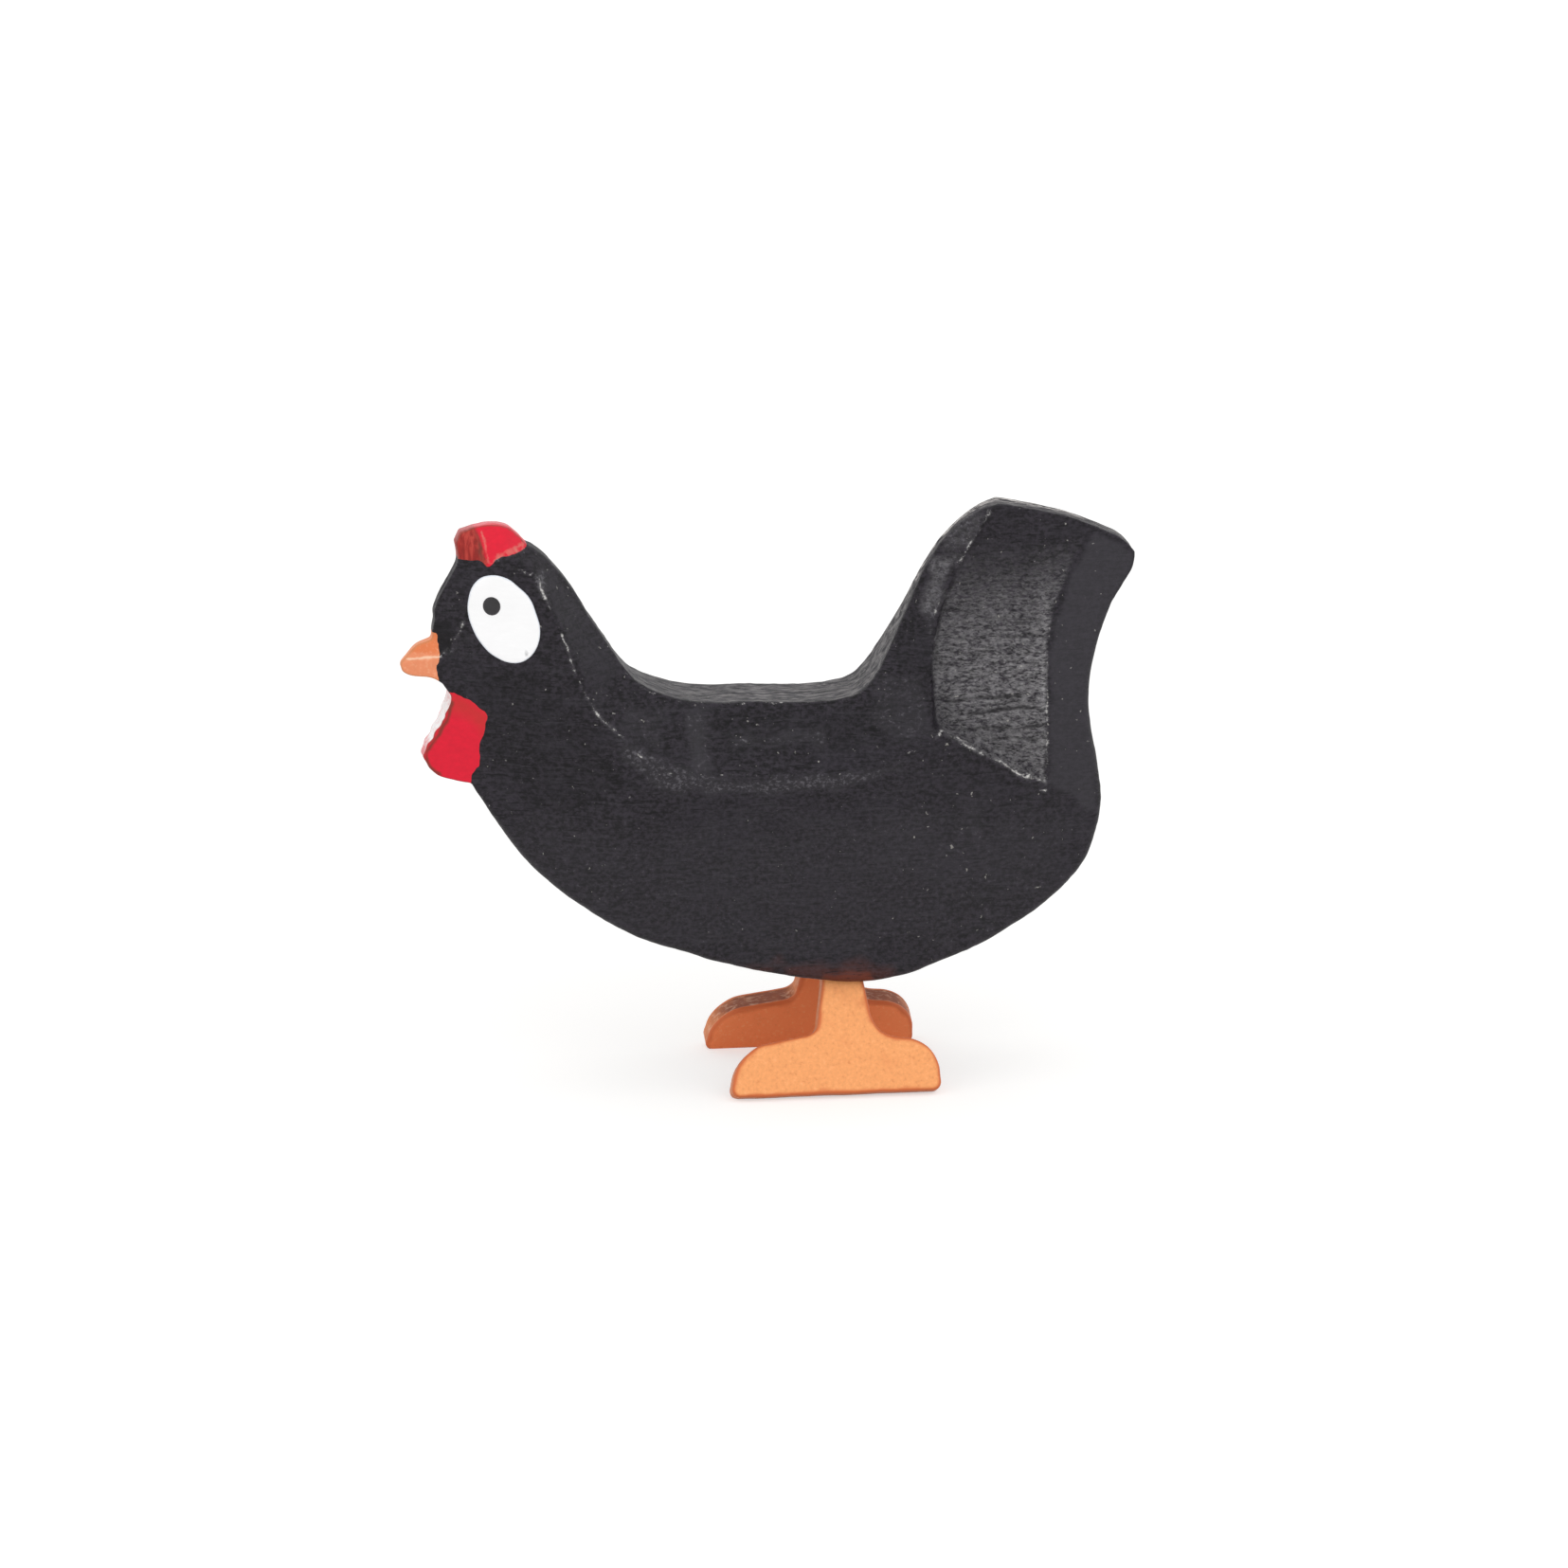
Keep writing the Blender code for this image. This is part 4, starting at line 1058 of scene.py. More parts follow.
def oval(centre, half_length, half_width, lean, count):
    """A closed oval on the side whose top leans towards the beak (x, z)."""
    angle = np.linspace(0.0, 2 * math.pi, count, endpoint=False)
    across = half_width * np.cos(angle)
    along = half_length * np.sin(angle)
    return np.column_stack([
        centre[0] + across * math.cos(lean) - along * math.sin(lean),
        centre[1] + across * math.sin(lean) + along * math.cos(lean),
    ])


def coat_piece(outline, thickness, under, shape, hand):
    """A coat of paint on the head's side, thick in the middle and thin at its edge."""
    corners, triangles, _ = meshed_area(outline, [], COAT_SPACING, COAT_RINGS)
    skin = saw_outline(shape.corner / MM, shape.belly_corner / MM)
    seed = SIDE_SEEDS[hand]
    half = carved_half(corners, closed(skin), shape.board_thickness / MM / 2,
                       shape.knife_waver / MM, seed)
    depth, _ = from_line(corners, closed(outline))
    swell = (1.0 - (1.0 - depth / COAT_SWELL).clip(0.0) ** 2).clip(0.0) ** 0.5
    uneven = 1.0 + COAT_UNEVEN * unevenness(corners, 0.8, seed + 60)
    outer = half + under + thickness * swell * uneven
    inner = half - COAT_SINK
    points = np.vstack([
        np.column_stack([corners[:, 0], hand * outer, corners[:, 1]]),
        np.column_stack([corners[:, 0], hand * inner, corners[:, 1]]),
    ])
    front = triangles if hand < 0 else triangles[:, ::-1]
    faces = slab_faces(front, rim_of(front, len(corners)), len(corners), 0)
    smudge = np.linalg.norm((corners - EYE_SMUDGE) / SMUDGE_REACH, axis=1)
    values = {
        "rim": np.tile(np.exp(-(depth / COAT_RIM_FADE) ** 2), 2),
        "smudge": np.tile((1 - smudge / SMUDGE_FADE).clip(0.0), 2),
    }
    return points, faces, values


def foot_outline():
    """Corners of the foot plate with their radii, once round from the front toe's sole."""
    top = LEG_TOP / math.cos(math.radians(FOOT_LEAN_DEG))
    return [
        FRONT_SOLE,
        REAR_SOLE,
        REAR_TOE,
        REAR_INSTEP,
        (LEG_REAR, LEG_FOOT_HEIGHT, 0.0),
        (LEG_REAR, top, 0.0),
        (LEG_FRONT, top, 0.0),
        (LEG_FRONT, LEG_FOOT_HEIGHT, 0.0),
        FRONT_INSTEP,
        FRONT_TOE,
    ]


def rounded(corners, arc_steps):
    """A closed outline whose corners are arcs of the given radii."""
    points = []
    count = len(corners)
    for index, (x, y, radius) in enumerate(corners):
        here = Vector((x, y))
        before = (Vector(corners[index - 1][:2]) - here).normalized()
        after = (Vector(corners[(index + 1) % count][:2]) - here).normalized()
        if radius <= 0.0:
            points.append((x, y))
            continue
        half_angle = before.angle(after) / 2
        reach = radius / math.tan(half_angle)
        centre = here + (before + after).normalized() * radius / math.sin(half_angle)
        start = here + before * reach - centre
        end = here + after * reach - centre
        sweep = start.angle_signed(end)
        for step in range(arc_steps + 1):
            angle = -sweep * step / arc_steps
            points.append((
                centre.x + start.x * math.cos(angle) - start.y * math.sin(angle),
                centre.y + start.x * math.sin(angle) + start.y * math.cos(angle),
            ))
    return np.array(points)


@functools.lru_cache(maxsize=1)
def foot_plate():
    """The foot plate's outline and the triangles inside it."""
    outline = closed(rounded(foot_outline(), FOOT_ARC_STEPS))
    outline = evenly_spaced(outline, FOOT_EDGE_SPACING)[:-1]
    outline += FOOT_WAVER * wander(outline, 0.7, 31)
    corners, triangles, _ = meshed_area(outline, [], SIDE_SPACING, FOOT_RINGS)
    return outline, corners, triangles


def foot_piece(hand):
    """A leaning foot plate with its sawn edge, worn flat where it stands."""
    outline, corners, triangles = foot_plate()
    count = len(corners)
    seed = FOOT_SEEDS[hand]
    depth, _ = from_line(corners, closed(outline))
    loss = corner_loss(depth, FOOT_CORNER)
    inner = loss + FOOT_WAVER * unevenness(corners, 1.4, seed)
    outer = FOOT_THICKNESS - loss + FOOT_WAVER * unevenness(corners, 1.4, seed + 1)
    rim = rim_of(triangles, count)
    edge = np.unique(rim)
    rows = FOOT_ROWS - 1
    shares = np.linspace(0.0, 1.0, FOOT_ROWS + 1)[1:-1]
    across = inner[edge, None] + (outer - inner)[edge, None] * shares
    flat = np.vstack([
        np.column_stack([corners, inner]),
        np.column_stack([corners, outer]),
        np.column_stack([np.repeat(corners[edge], rows, axis=0), across.ravel()]),
    ])
    lean = math.radians(FOOT_LEAN_DEG)
    y = SOLE_HALF_SPREAD + flat[:, 2] * math.cos(lean) - flat[:, 1] * math.sin(lean)
    z = flat[:, 2] * math.sin(lean) - SOLE_WEAR + flat[:, 1] * math.cos(lean)
    points = np.column_stack([LEG_X + flat[:, 0], hand * y, z.clip(0.0)])
    faces = slab_faces(triangles, rim, count, rows)
    if hand > 0:
        faces = [tuple(reversed(face)) for face in faces]
    # The upper edges are painted darker: painted shade under the belly over the dark sawn grain.
    marked = closed(np.column_stack([outline, outwards(outline)[:, 1]]))
    upwards = from_line(corners[edge], marked)[1][:, 2].clip(0.0, 1.0)
    on_sides = np.zeros(2 * count)
    on_edge = np.zeros(len(edge) * rows)
    worn_rim = np.exp(-(depth / FOOT_RIM) ** 2)
    # The inner faces carry painted bounce light from the other foot.
    values = {
        "sawn": np.concatenate([on_sides, on_edge + 1]),
        "stained": np.concatenate([on_sides, np.repeat(upwards, rows)]),
        "rim": np.concatenate([worn_rim, worn_rim, on_edge]),
        "inner": np.concatenate([np.ones(count), np.zeros(count), on_edge]),
    }
    return points, faces, values


def add_node(material, kind, inputs, **settings):
    """Add a node with its settings, and set its inputs or link them.

    An input takes a plain value, a socket, or a node whose first open output is meant.
    """
    tree = material.node_tree
    node = tree.nodes.new(kind)
    for name, value in settings.items():
        setattr(node, name, value)
    for key, value in inputs.items():
        if isinstance(value, bpy.types.Node):
            value = next(socket for socket in value.outputs if socket.enabled)
        if isinstance(value, bpy.types.NodeSocket):
            tree.links.new(value, node.inputs[key])
        else:
            node.inputs[key].default_value = value
    return node


def painted(name, ground, grains, lines, coats, gloss, relief):
    """A paint on wood, as coats over a ground colour.

    ground: the grain that mottles it, the grain's range, the paint's linear colour, and how
    many times as light it is where the grain is low and where it is high.
    grains: name, bumps per millimetre along x, y and z, octaves, roughness and twist.
    lines: name, the drawn line it follows, half its width in millimetres, and its weight.
    coats: the grain and the wear that are added up, the range over which the sum brings
    the coat in, how much of it, the wear that it is kept to, and its hex colour.
    gloss: a grain, its range, two roughnesses, and the level of the reflections.
    relief: a grain, the wear that it is kept to, and its height in millimetres.
    """
    old = bpy.data.materials.get(name)
    if old is not None:
        bpy.data.materials.remove(old)
    material = bpy.data.materials.new(name)
    material.use_nodes = True
    shader = material.node_tree.nodes["Principled BSDF"]
    node = functools.partial(add_node, material)
    place = node("ShaderNodeTexCoord", {}).outputs["Object"]
    place = node("ShaderNodeVectorMath", {0: place, "Scale": 1 / MM}, operation="SCALE")

    grain = {}
    for key, per_mm, octaves, rough, twist in grains:
        stretched = node("ShaderNodeMapping", {"Vector": place, "Scale": per_mm})
        grain[key] = node("ShaderNodeTexNoise", {
            "Vector": stretched, "Scale": 1.0, "Detail": octaves, "Roughness": rough,
            "Distortion": twist})

    kinds = {row[1] for row in coats + relief} | {row[4] for row in coats}
    wear = {}
    for key in sorted(kinds - {None} - {row[0] for row in lines}):
        wear[key] = node("ShaderNodeAttribute", {}, attribute_name=key).outputs["Fac"]
    for key, drawn, half_width, weight in lines:
        aside = node("ShaderNodeAttribute", {}, attribute_name=drawn + "_aside").outputs["Fac"]
        strength = node("ShaderNodeAttribute", {}, attribute_name=drawn).outputs["Fac"]
        stray = node("ShaderNodeMath", {0: grain["stray"], 1: STRAY, 2: -STRAY / 2},
                     operation="MULTIPLY_ADD")
        aside = node("ShaderNodeMath", {0: aside, 1: stray}, operation="ADD")
        aside = node("ShaderNodeMath", {0: aside}, operation="ABSOLUTE")
        near = node("ShaderNodeMapRange", {
            "Value": aside, "From Min": 0.0, "From Max": half_width, "To Min": weight,
            "To Max": 0.0})
        wear[key] = node("ShaderNodeMath", {0: near, 1: strength}, operation="MULTIPLY")

    key, low, high, colour, dark, light = ground
    share = node("ShaderNodeMapRange", {"Value": grain[key], "From Min": low, "From Max": high})
    shade = node("ShaderNodeMix", {
        "Factor": share, "A": (*(part * dark for part in colour), 1.0),
        "B": (*(part * light for part in colour), 1.0)}, data_type="RGBA")
    for key, added, low, high, kept_to, most, colour in coats:
        amount = grain[key] if key else wear[added]
        if key and added:
            amount = node("ShaderNodeMath", {0: amount, 1: wear[added]}, operation="ADD")
        share = node("ShaderNodeMapRange", {
            "Value": amount, "From Min": low, "From Max": high, "To Max": most})
        if kept_to:
            share = node("ShaderNodeMath", {0: share, 1: wear[kept_to]}, operation="MULTIPLY")
        shade = node("ShaderNodeMix", {
            "Factor": share, "A": shade, "B": (*from_hex(colour), 1.0)}, data_type="RGBA")
    material.node_tree.links.new(shade.outputs["Result"], shader.inputs["Base Color"])

    key, low, high, smooth, matt, reflections = gloss
    rough = node("ShaderNodeMapRange", {
        "Value": grain[key], "From Min": low, "From Max": high, "To Min": smooth, "To Max": matt})
    material.node_tree.links.new(rough.outputs["Result"], shader.inputs["Roughness"])
    shader.inputs["IOR"].default_value = 1.5
    shader.inputs["Specular IOR Level"].default_value = reflections

    normal = None
    for key, kept_to, height in relief:
        amount = grain[key]
        if kept_to:
            amount = node("ShaderNodeMath", {0: amount, 1: wear[kept_to]}, operation="MULTIPLY")
        inputs = {"Height": amount, "Strength": 1.0, "Distance": height * MM}
        if normal:
            inputs["Normal"] = normal
        normal = node("ShaderNodeBump", inputs)
    material.node_tree.links.new(normal.outputs["Normal"], shader.inputs["Normal"])
    return material


def black_paint(paint):
    """Satin black enamel, brushed by hand over carved wood.

    It gives the eye a deep, slightly violet black with a soft sheen.  It is brushed thin in
    the tail's hollow, whose pale streaks are partly painted sheen and glints, thin on the sawn
    edge, which is painted paler partly as a reflection of grazing light, and rubbed off the
    creases in pale flecks, beside which a grey band is part wear and part painted sheen.
    Painted light and painted shade stand in for how light falls on it: paler and deeper
    facets, a painted shadow along the step in front of the hollow, and a painted reflection of
    the orange feet on the belly's lower edge.
    """
    return painted(
        "satin_black_brushed_enamel",
        ground=("coat", 0.4, 0.6, paint.black, 0.35, 2.3),
        grains=(
            ("coat", (3.4, 3.4, 4.6), 4.0, 0.7, 0.0),      # the dried coat, 0.2 to 0.3 mm across
            ("bristle", (0.5, 0.5, 6.0), 3.0, 0.6, 0.3),   # bristle lines 0.17 mm apart
            ("dashes", (1.2, 1.2, 9.0), 2.0, 0.5, 0.0),    # short dark scratches along the grain
            ("chatter", (3.0, 3.0, 7.0), 5.0, 0.75, 0.4),  # dry strokes over knife chatter
            ("fibres", (1.0, 3.0, 2.2), 5.0, 0.65, 0.0),   # torn fibres, 0.3 mm apart
            ("cloud", (0.3, 0.3, 0.6), 2.0, 0.5, 0.0),     # how thick the coat lies
            ("flakes", (2.6, 2.6, 3.0), 5.0, 0.8, 0.0),    # flakes of lost paint
            ("dust", (3.6, 3.6, 3.6), 3.0, 0.5, 0.0),      # specks, drawn 0.1 mm wide to show
            ("stray", (1.6, 1.6, 1.6), 2.0, 0.5, 0.0),     # how a drawn line wanders
        ),
        lines=(("bare", "crease", 0.26, 0.42), ("halo", "crease", 0.6, 1.0),
               ("crack", "dark", 0.2, 1.0)),
        coats=(
            # Painted shade on facets that face away from the light.
            (None, "deep", 0.0, 1.0, None, 0.4, "#0b0a0c"),
            ("flakes", "deep", 1.05, 1.35, None, 0.85, "#060507"),
            # Painted reflection of the orange feet on the belly's lower edge.
            (None, "ruddy", 0.0, 1.0, None, 0.9, "#6b3222"),
            ("cloud", None, 0.45, 0.7, None, 0.35, "#2d2a31"),
            ("bristle", None, 0.52, 0.7, None, 0.38, "#3a383d"),
            ("dashes", None, 0.59, 0.68, None, 0.8, "#060507"),
            # Painted light on facets that face the light.
            (None, "pale", 0.0, 1.0, None, 0.6, "#3d3b40"),
            (None, "scuffed", 0.0, 0.3, None, 0.35, "#454347"),
            # Pale streaks in the hollow: thin paint and painted glints.
            ("chatter", None, 0.4, 0.64, "dry", 0.95, "#a3a1a3"),
            ("bristle", None, 0.45, 0.3, "dry", 0.6, "#1d1b1e"),
            # Pale on the sawn edge: wood fibres and painted reflection of grazing light.
            ("fibres", None, 0.45, 0.64, "sawn", 0.6, "#bdb8b7"),
            ("fibres", "sawn", 1.45, 1.65, None, 0.8, "#e2dcd8"),
            # A grey band beside the creases: part wear and part painted sheen.
            ("flakes", "halo", 0.9, 1.6, "halo", 0.55, "#8d8b8e"),
            ("coat", "scuffed", 0.75, 0.9, None, 0.44, "#79777c"),
            # Cracks, and a painted shadow along the step in front of the hollow.
            (None, "crack", 0.15, 0.6, None, 0.65, "#0e0d0f"),
            ("flakes", "bare", 0.76, 0.9, None, 0.95, "#d4d2cf"),
            ("flakes", "rim", 1.55, 1.75, None, 0.7, "#a39f9f"),
            ("dust", None, 0.707, 0.75, None, 0.75, "#9c9995"),
        ),
        gloss=("coat", 0.3, 0.7, 0.42, 0.54, 0.2),
        relief=(("coat", None, 0.045), ("chatter", "dry", 0.05), ("fibres", "sawn", 0.06)),
    )


def red_paint(name, paint):
    """Satin red enamel on carved wood.

    It gives the eye an even bright red: pale on the sawn edge, which is painted reflection of
    grazing light and part worn paint, brown along the rim, and dull with upright lines on the
    comb's front facet, where the lines are end grain that the knife left and the dullness is
    painted shade of a face turned from the light.  A pink painted highlight with worn paint
    lies beside the comb's corner crease, and the wattle is darker where the painted shade of
    the neck facet reaches it and towards its top.
    """
    return painted(
        name,
        ground=("coat", 0.3, 0.7, paint.red, 0.88, 1.0),
        grains=(
            ("coat", (2.5, 2.5, 3.5), 3.0, 0.6, 0.0),      # the dried coat, 0.3 mm across
            ("upright", (5.0, 5.0, 0.5), 3.0, 0.6, 0.0),   # end grain 0.2 mm apart
            ("flakes", (3.0, 3.0, 3.0), 5.0, 0.75, 0.0),   # flakes of lost paint
            ("stray", (1.6, 1.6, 1.6), 2.0, 0.5, 0.0),
        ),
        lines=(("bare", "crease", 0.2, 0.75), ("stain", "dark", 0.2, 1.0)),
        coats=(
            # Darker on the wattle: painted shade where the neck facet reaches it, and towards its
            # top.
            (None, "deep", 0.0, 1.0, None, 0.6, "#b5382c"),
            # Painted shade on the comb's front facet; the upright lines below are end grain.
            (None, "front", 0.0, 1.0, None, 1.0, "#972421"),
            ("upright", None, 0.42, 0.62, "front", 0.75, "#c2463c"),
            ("upright", None, 0.46, 0.32, "front", 0.6, "#7c2a22"),
            # A dark brown line at the comb's corner and along the wattle's front edge.
            (None, "stain", 0.1, 0.7, None, 0.85, "#74352a"),
            # Pink beside the comb's corner crease: painted highlight with worn paint.
            ("flakes", "bare", 0.7, 1.15, None, 0.65, "#dc8c7e"),
            ("flakes", "rim", 1.2, 1.55, None, 0.75, "#8f4236"),
            # Pale on the sawn edge, with white flecks: painted reflection of grazing light and
            # worn paint.
            (None, "sawn", 0.1, 0.85, None, 0.95, "#f0a2a6"),
            ("flakes", "sawn", 1.25, 1.5, "sawn", 1.0, "#ffffff"),
        ),
        gloss=("coat", 0.3, 0.75, 0.42, 0.54, 0.25),
        relief=(("flakes", None, 0.008), ("upright", "front", 0.02)),
    )


def beak_paint(paint):
    """Matt orange paint on the beak: soft and chalky, redder above and pale on its ridge."""
    # Redder above is painted shade on the upper facet, the pale ridge is painted highlight with
    # some worn paint, and the darker rim is painted shade along the beak's edges.
    return painted(
        "matt_orange_beak_paint",
        ground=("coat", 0.3, 0.7, paint.beak, 0.9, 1.0),
        grains=(
            ("coat", (2.0, 2.0, 2.0), 3.0, 0.6, 0.0),      # brushed coat, 0.4 mm across
            ("chalk", (6.0, 6.0, 6.0), 2.0, 0.6, 0.0),     # chalky grains, drawn 0.15 mm wide
            ("stray", (1.6, 1.6, 1.6), 2.0, 0.5, 0.0),
        ),
        lines=(("bare", "crease", 0.13, 1.0),),
        coats=(
            # Redder above: painted shade on the beak's upper facet.
            (None, "deep", 0.0, 1.0, None, 0.85, "#e0763f"),
            ("chalk", None, 0.55, 0.75, None, 0.35, "#f9c39c"),
            # Pale on the ridge: painted highlight with some worn paint.
            ("coat", "bare", 0.6, 1.1, None, 0.85, "#fbd2b2"),
            # Darker along the edges: painted shade.
            ("coat", "rim", 0.95, 1.4, None, 0.5, "#c98a5c"),
            (None, "sawn", 0.0, 1.0, None, 0.6, "#f3b48e"),
        ),
        gloss=("chalk", 0.3, 0.75, 0.5, 0.65, 0.3),
        relief=(("chalk", None, 0.006),),
    )


def foot_paint(paint):
    """Matt orange paint on the feet.

    It gives the eye a speckled orange skin, redder along the rim and on the inner faces, where
    the redness is painted bounce light from the other foot, and thin over the dark sawn grain
    on the upper edges, which are also painted darker as shade under the belly, where fibres
    stand out pale.  The sawn edge is a darker orange, partly painted shade.
    """
    return painted(
        "matt_orange_foot_paint",
        ground=("peel", 0.36, 0.64, paint.feet, 0.9, 1.0),
        grains=(
            ("peel", (5.0, 5.0, 5.0), 3.0, 0.65, 0.0),     # orange peel, 0.2 mm across
            ("cloud", (0.8, 0.8, 0.8), 2.0, 0.5, 0.0),     # how thick the paint lies
            ("fibres", (0.9, 3.4, 3.4), 4.0, 0.7, 0.3),    # torn fibres, 0.3 mm apart
        ),
        lines=(),
        coats=(
            # Redder on the inner faces: painted bounce light from the other foot.
            (None, "inner", 0.0, 1.0, None, 0.9, "#fd8a55"),
            ("peel", None, 0.58, 0.7, None, 0.4, "#fdc08c"),
            ("peel", None, 0.4, 0.3, None, 0.5, "#e5864c"),
            ("cloud", "rim", 0.7, 1.25, None, 0.85, "#d5693a"),
            # Darker orange on the sawn edge, partly painted shade.
            ("cloud", "sawn", 0.6, 1.4, None, 0.75, "#d9743f"),
            # Dark on the upper edges: painted shade under the belly over the dark sawn grain.
            ("cloud", "stained", 0.8, 1.45, None, 0.85, "#844734"),
            ("fibres", None, 0.5, 0.72, "sawn", 0.75, "#f9c8a8"),
        ),
        gloss=("peel", 0.3, 0.75, 0.5, 0.62, 0.35),
        relief=(("peel", None, 0.012), ("fibres", "sawn", 0.04)),
    )


def eye_paint(paint):
    """Gloss white enamel: thick, smooth and bright, and cool where it thins at its rim."""
    return painted(
        "gloss_white_enamel",
        ground=("brush", 0.3, 0.7, paint.white, 0.97, 1.0),
        grains=(
            ("brush", (1.2, 1.2, 4.0), 2.0, 0.5, 0.0),     # soft brush lines 0.25 mm apart
            ("coat", (3.0, 3.0, 3.0), 3.0, 0.6, 0.0),
        ),
        lines=(),
        coats=(
            ("coat", "rim", 0.9, 1.5, None, 0.5, "#c3cfe2"),
            ("coat", "smudge", 0.75, 1.3, None, 0.6, "#8d8f90"),
        ),
        gloss=("brush", 0.3, 0.75, 0.28, 0.36, 0.5),
        relief=(("brush", None, 0.004),),
    )


def pupil_paint(paint):
    """Gloss black enamel: a raised drop that catches a small soft light."""
    return painted(
        "gloss_black_enamel",
        ground=("coat", 0.3, 0.7, paint.black, 0.5, 1.2),
        grains=(("coat", (3.0, 3.0, 3.0), 2.0, 0.5, 0.0),),
        lines=(),
        coats=(("coat", "rim", 0.9, 1.5, None, 0.3, "#4a474c"),),
        gloss=("coat", 0.3, 0.75, 0.25, 0.35, 0.5),
        relief=(("coat", None, 0.004),),
    )


def carve(context, part, material):
    """Carve a part of the bird and give it its paint."""
    points, faces, values = carved_piece(part, context.scene.hen_shape)
    new_piece("carved_" + part, points, faces, values, material, part)


class HEN_OT_body(bpy.types.Operator):
    """Carve the body and paint it black"""

    bl_idname = "hen.body"
    bl_label = "Body"

    def execute(self, context):
        carve(context, "body", black_paint(context.scene.hen_paint))
        return {"FINISHED"}


class HEN_OT_comb(bpy.types.Operator):
    """Carve the comb and paint it red"""

    bl_idname = "hen.comb"
    bl_label = "Comb"

    def execute(self, context):
        material = red_paint("satin_red_comb_enamel", context.scene.hen_paint)
        carve(context, "comb", material)
        return {"FINISHED"}


class HEN_OT_wattle(bpy.types.Operator):
    """Carve the wattle and paint it red"""

    bl_idname = "hen.wattle"
    bl_label = "Wattle"

    def execute(self, context):
        material = red_paint("satin_red_wattle_enamel", context.scene.hen_paint)
        carve(context, "wattle", material)
        return {"FINISHED"}


class HEN_OT_beak(bpy.types.Operator):
    """Carve the beak and paint it orange"""

    bl_idname = "hen.beak"
    bl_label = "Beak"

    def execute(self, context):
        carve(context, "beak", beak_paint(context.scene.hen_paint))
        return {"FINISHED"}


class HEN_OT_eyes(bpy.types.Operator):
    """Paint the white of each eye and its black dot"""

    bl_idname = "hen.eyes"
    bl_label = "Eyes"

    def execute(self, context):
        white = eye_paint(context.scene.hen_paint)
        black = pupil_paint(context.scene.hen_paint)
        lean = math.radians(EYE_LEAN_DEG)
        eye = oval(EYE_CENTRE, EYE_HALF_LENGTH, EYE_HALF_WIDTH, lean, EYE_POINTS)
        eye += EYE_WAVER * wander(eye, 0.8, 41)
        dot = oval(PUPIL_CENTRE, PUPIL_HALF_LENGTH, PUPIL_HALF_WIDTH, 0.0, PUPIL_POINTS)
        coats = (("eye_", eye, EYE_COAT, 0.0, white, "eye_white"),
                 ("pupil_", dot, PUPIL_COAT, EYE_COAT, black, "pupil_black"))
        for hand, word in HANDS:
            for start, outline, thickness, under, material, slot in coats:
                points, faces, values = coat_piece(
                    outline, thickness, under, context.scene.hen_shape, hand)
                new_piece("painted_" + start + word, points, faces, values, material,
                          start + word)
        return {"FINISHED"}


class HEN_OT_feet(bpy.types.Operator):
    """Saw the two feet and paint them orange"""

    bl_idname = "hen.feet"
    bl_label = "Feet"

    def execute(self, context):
        material = foot_paint(context.scene.hen_paint)
        for hand, word in HANDS:
            points, faces, values = foot_piece(hand)
            new_piece("sawn_foot_" + word, points, faces, values, material, "foot_" + word)
        return {"FINISHED"}


def look_along(azimuth, elevation):
    """Unit vector towards a viewer at an azimuth from the near side and an elevation."""
    a, e = math.radians(azimuth), math.radians(elevation)
    return Vector((math.sin(a) * math.cos(e), -math.cos(a) * math.cos(e), math.sin(e)))


def soft_light(name, lamp_place, radiance):
    """A soft light of a plain rectangle that looks at the hen and isn't seen itself."""
    azimuth, elevation, width, height = lamp_place
    lamp = bpy.data.lights.new(name, "AREA")
    lamp.shape = "RECTANGLE"
    lamp.size = width
    lamp.size_y = height
    lamp.energy = radiance * math.pi * width * height
    light = bpy.data.objects.new(name, lamp)
    towards = look_along(azimuth, elevation)
    light.location = Vector(CAMERA_TARGET) * MM + towards * LAMP_DISTANCE
    light.rotation_euler = towards.to_track_quat("Z", "Y").to_euler()
    light.visible_camera = False
    light.visible_glossy = False
    bpy.context.collection.objects.link(light)


def seen_ray(material):
    """1 for a ray that the camera sends, also by way of gloss or glass, and 0 for others."""
    ray = add_node(material, "ShaderNodeLightPath", {}).outputs
    seen = add_node(material, "ShaderNodeMath", {0: ray["Is Camera Ray"], 1: ray["Is Glossy Ray"]},
                    operation="MAXIMUM")
    return add_node(material, "ShaderNodeMath", {0: seen, 1: ray["Is Transmission Ray"]},
                    operation="MAXIMUM")


def pale_floor():
    """A plain pale table top, with the camera's white added to what lights it."""
    material = bpy.data.materials.new("matt_white_card")
    material.use_nodes = True
    tree = material.node_tree
    shader = tree.nodes["Principled BSDF"]
    shader.inputs["Base Color"].default_value = (*from_hex("#cecdcb"), 1.0)
    shader.inputs["Roughness"].default_value = 0.9
    shader.inputs["Specular IOR Level"].default_value = 0.0
    glow = add_node(material, "ShaderNodeMath", {0: seen_ray(material), 1: CARD_GLOW},
                    operation="MULTIPLY")
    shader.inputs["Emission Color"].default_value = (1.0, 1.0, 1.0, 1.0)
    tree.links.new(glow.outputs["Value"], shader.inputs["Emission Strength"])
    return material


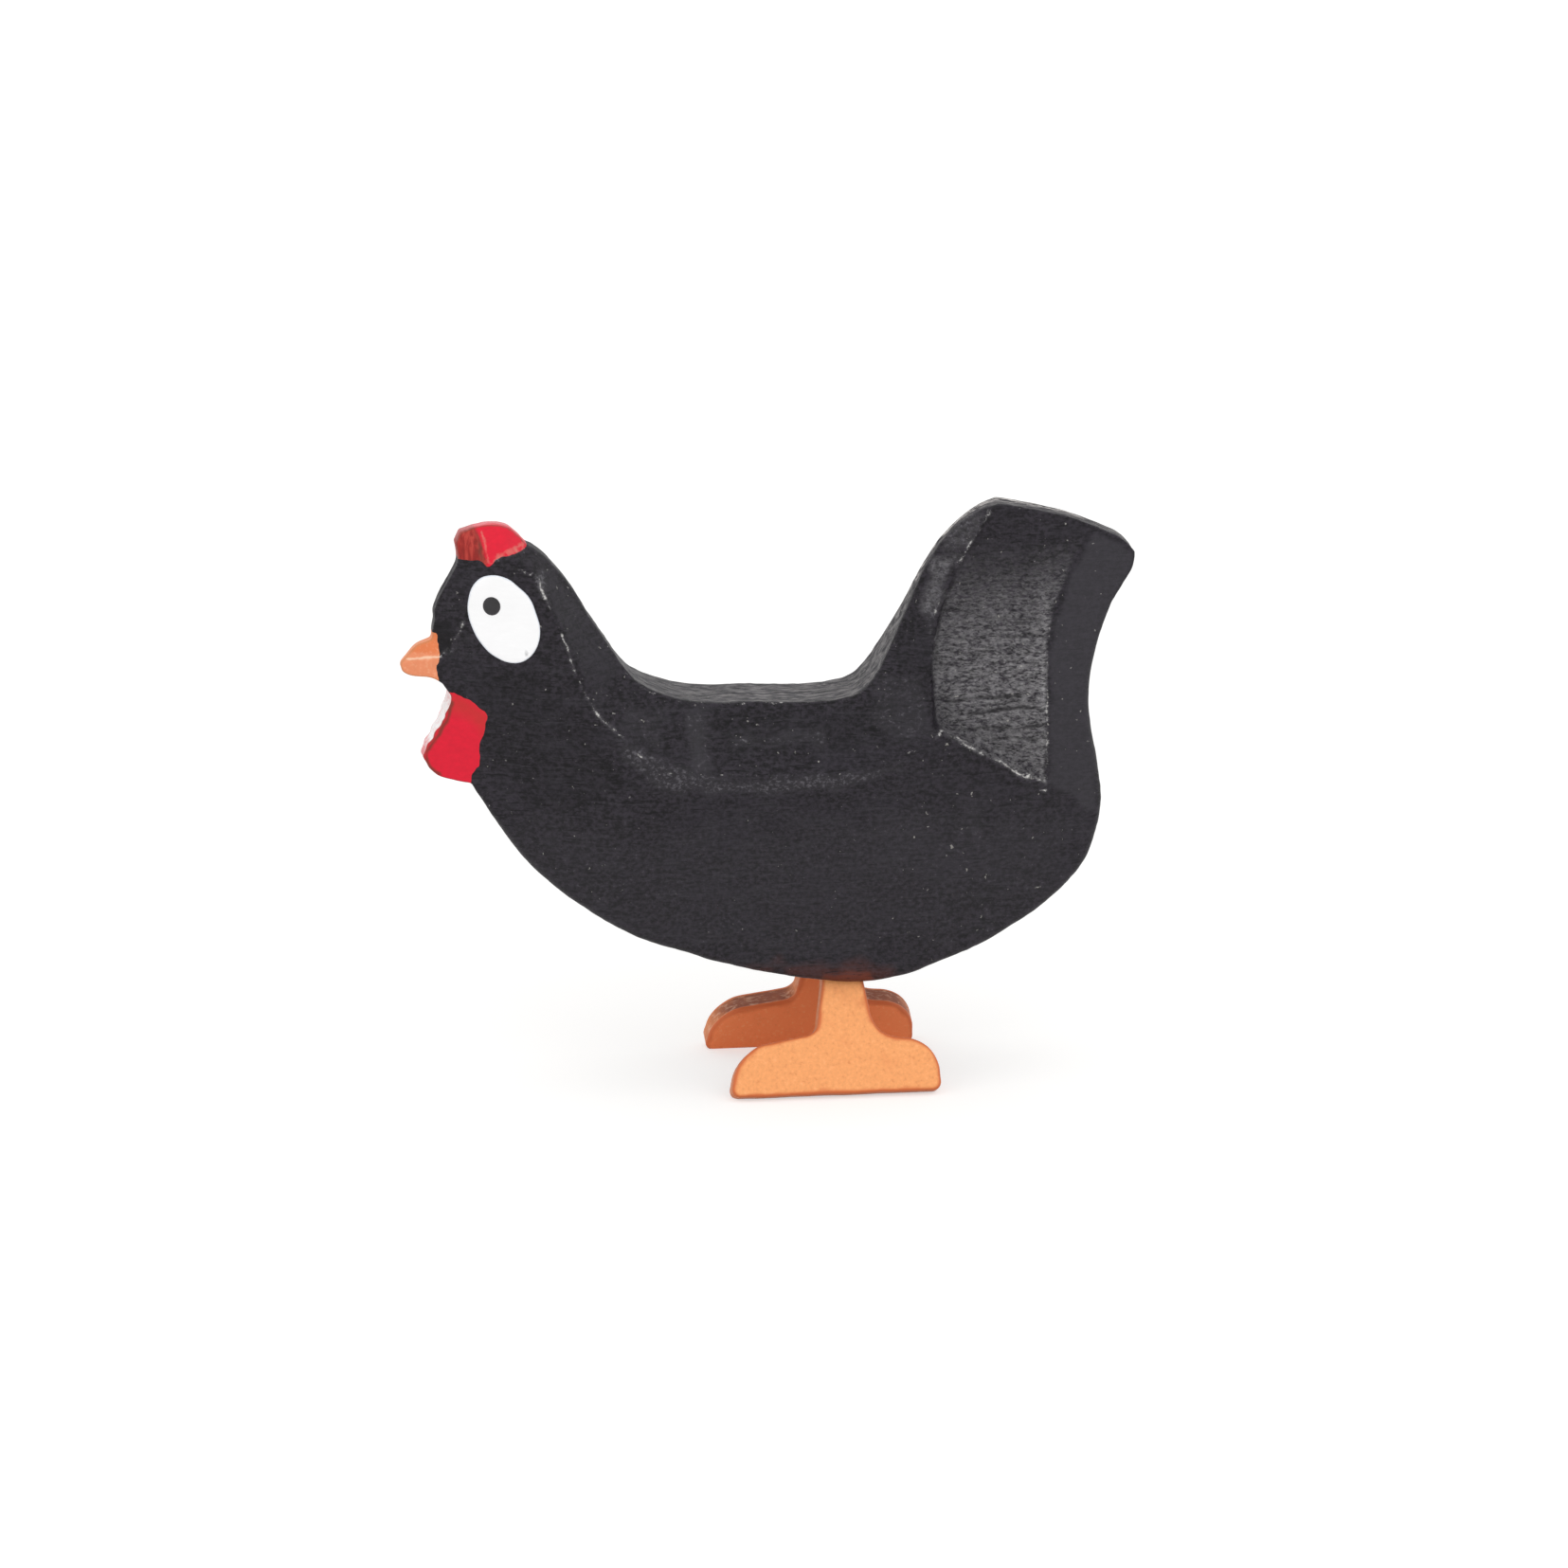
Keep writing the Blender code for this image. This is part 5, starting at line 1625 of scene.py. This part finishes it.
class HEN_OT_stage(bpy.types.Operator):
    """Set up the table, the light and the camera"""

    bl_idname = "hen.stage"
    bl_label = "Stage"

    def execute(self, context):
        stage = context.scene.hen_stage
        scene = context.scene
        mesh = bpy.data.meshes.new("table")
        corners = [(x * TABLE_REACH, y * TABLE_REACH, 0.0)
                   for x, y in ((-1, -1), (1, -1), (1, 1), (-1, 1))]
        mesh.from_pydata(corners, [], [(0, 1, 2, 3)])
        mesh.materials.append(pale_floor())
        table = bpy.data.objects.new("table", mesh)
        scene.collection.objects.link(table)

        world = bpy.data.worlds.new("studio")
        world.use_nodes = True
        scene.world = world
        tree = world.node_tree
        ground = tree.nodes["Background"]
        level = add_node(world, "ShaderNodeMapRange",
                         {"Value": seen_ray(world), "To Min": stage.surround_level,
                          "To Max": 1.0})
        ground.inputs["Color"].default_value = (1.0, 1.0, 1.0, 1.0)
        tree.links.new(level.outputs["Result"], ground.inputs["Strength"])

        soft_light("front_softbox", FRONT_LAMP, stage.key_level)
        soft_light("side_softbox", SIDE_LAMP, stage.strip_level)

        camera = bpy.data.cameras.new("camera")
        camera.lens = stage.lens
        camera.sensor_width = CAMERA_SENSOR
        camera.clip_start, camera.clip_end = CAMERA_SEES
        eye = bpy.data.objects.new("camera", camera)
        towards = look_along(CAMERA_AZIMUTH_DEG, CAMERA_ELEVATION_DEG)
        eye.location = (Vector(CAMERA_TARGET) + towards * CAMERA_DISTANCE) * MM
        eye.rotation_euler = towards.to_track_quat("Z", "Y").to_euler()
        scene.collection.objects.link(eye)
        scene.camera = eye
        scene.view_settings.view_transform = "Standard"
        return {"FINISHED"}


class HEN_PT_panel(bpy.types.Panel):
    """Sizes, paints and steps of the hen"""

    bl_idname = "HEN_PT_panel"
    bl_label = "Carved wooden hen"
    bl_space_type = "VIEW_3D"
    bl_region_type = "UI"
    bl_category = "Hen"

    def draw(self, context):
        layout = self.layout
        for group in (context.scene.hen_shape, context.scene.hen_paint, context.scene.hen_stage):
            box = layout.box()
            for name in group.__annotations__:
                box.prop(group, name)
        for step in STEPS:
            layout.operator(step.bl_idname)


GROUPS = {"hen_shape": HenShape, "hen_paint": HenPaint, "hen_stage": HenStage}
STEPS = (HEN_OT_body, HEN_OT_comb, HEN_OT_wattle, HEN_OT_beak, HEN_OT_eyes, HEN_OT_feet,
         HEN_OT_stage)


def register():
    """Register the sizes, the steps and the panel."""
    for name, group in GROUPS.items():
        bpy.utils.register_class(group)
        setattr(bpy.types.Scene, name, PointerProperty(type=group))
    for step in STEPS:
        bpy.utils.register_class(step)
    bpy.utils.register_class(HEN_PT_panel)


def unregister():
    """Take the panel, the steps and the sizes back out."""
    bpy.utils.unregister_class(HEN_PT_panel)
    for step in reversed(STEPS):
        bpy.utils.unregister_class(step)
    for name, group in GROUPS.items():
        delattr(bpy.types.Scene, name)
        bpy.utils.unregister_class(group)


def main():
    """Build the hen and its stage."""
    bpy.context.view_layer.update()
    register()
    for step in STEPS:
        getattr(bpy.ops.hen, step.bl_idname.split(".")[1])()


if __name__ == "__main__":
    main()
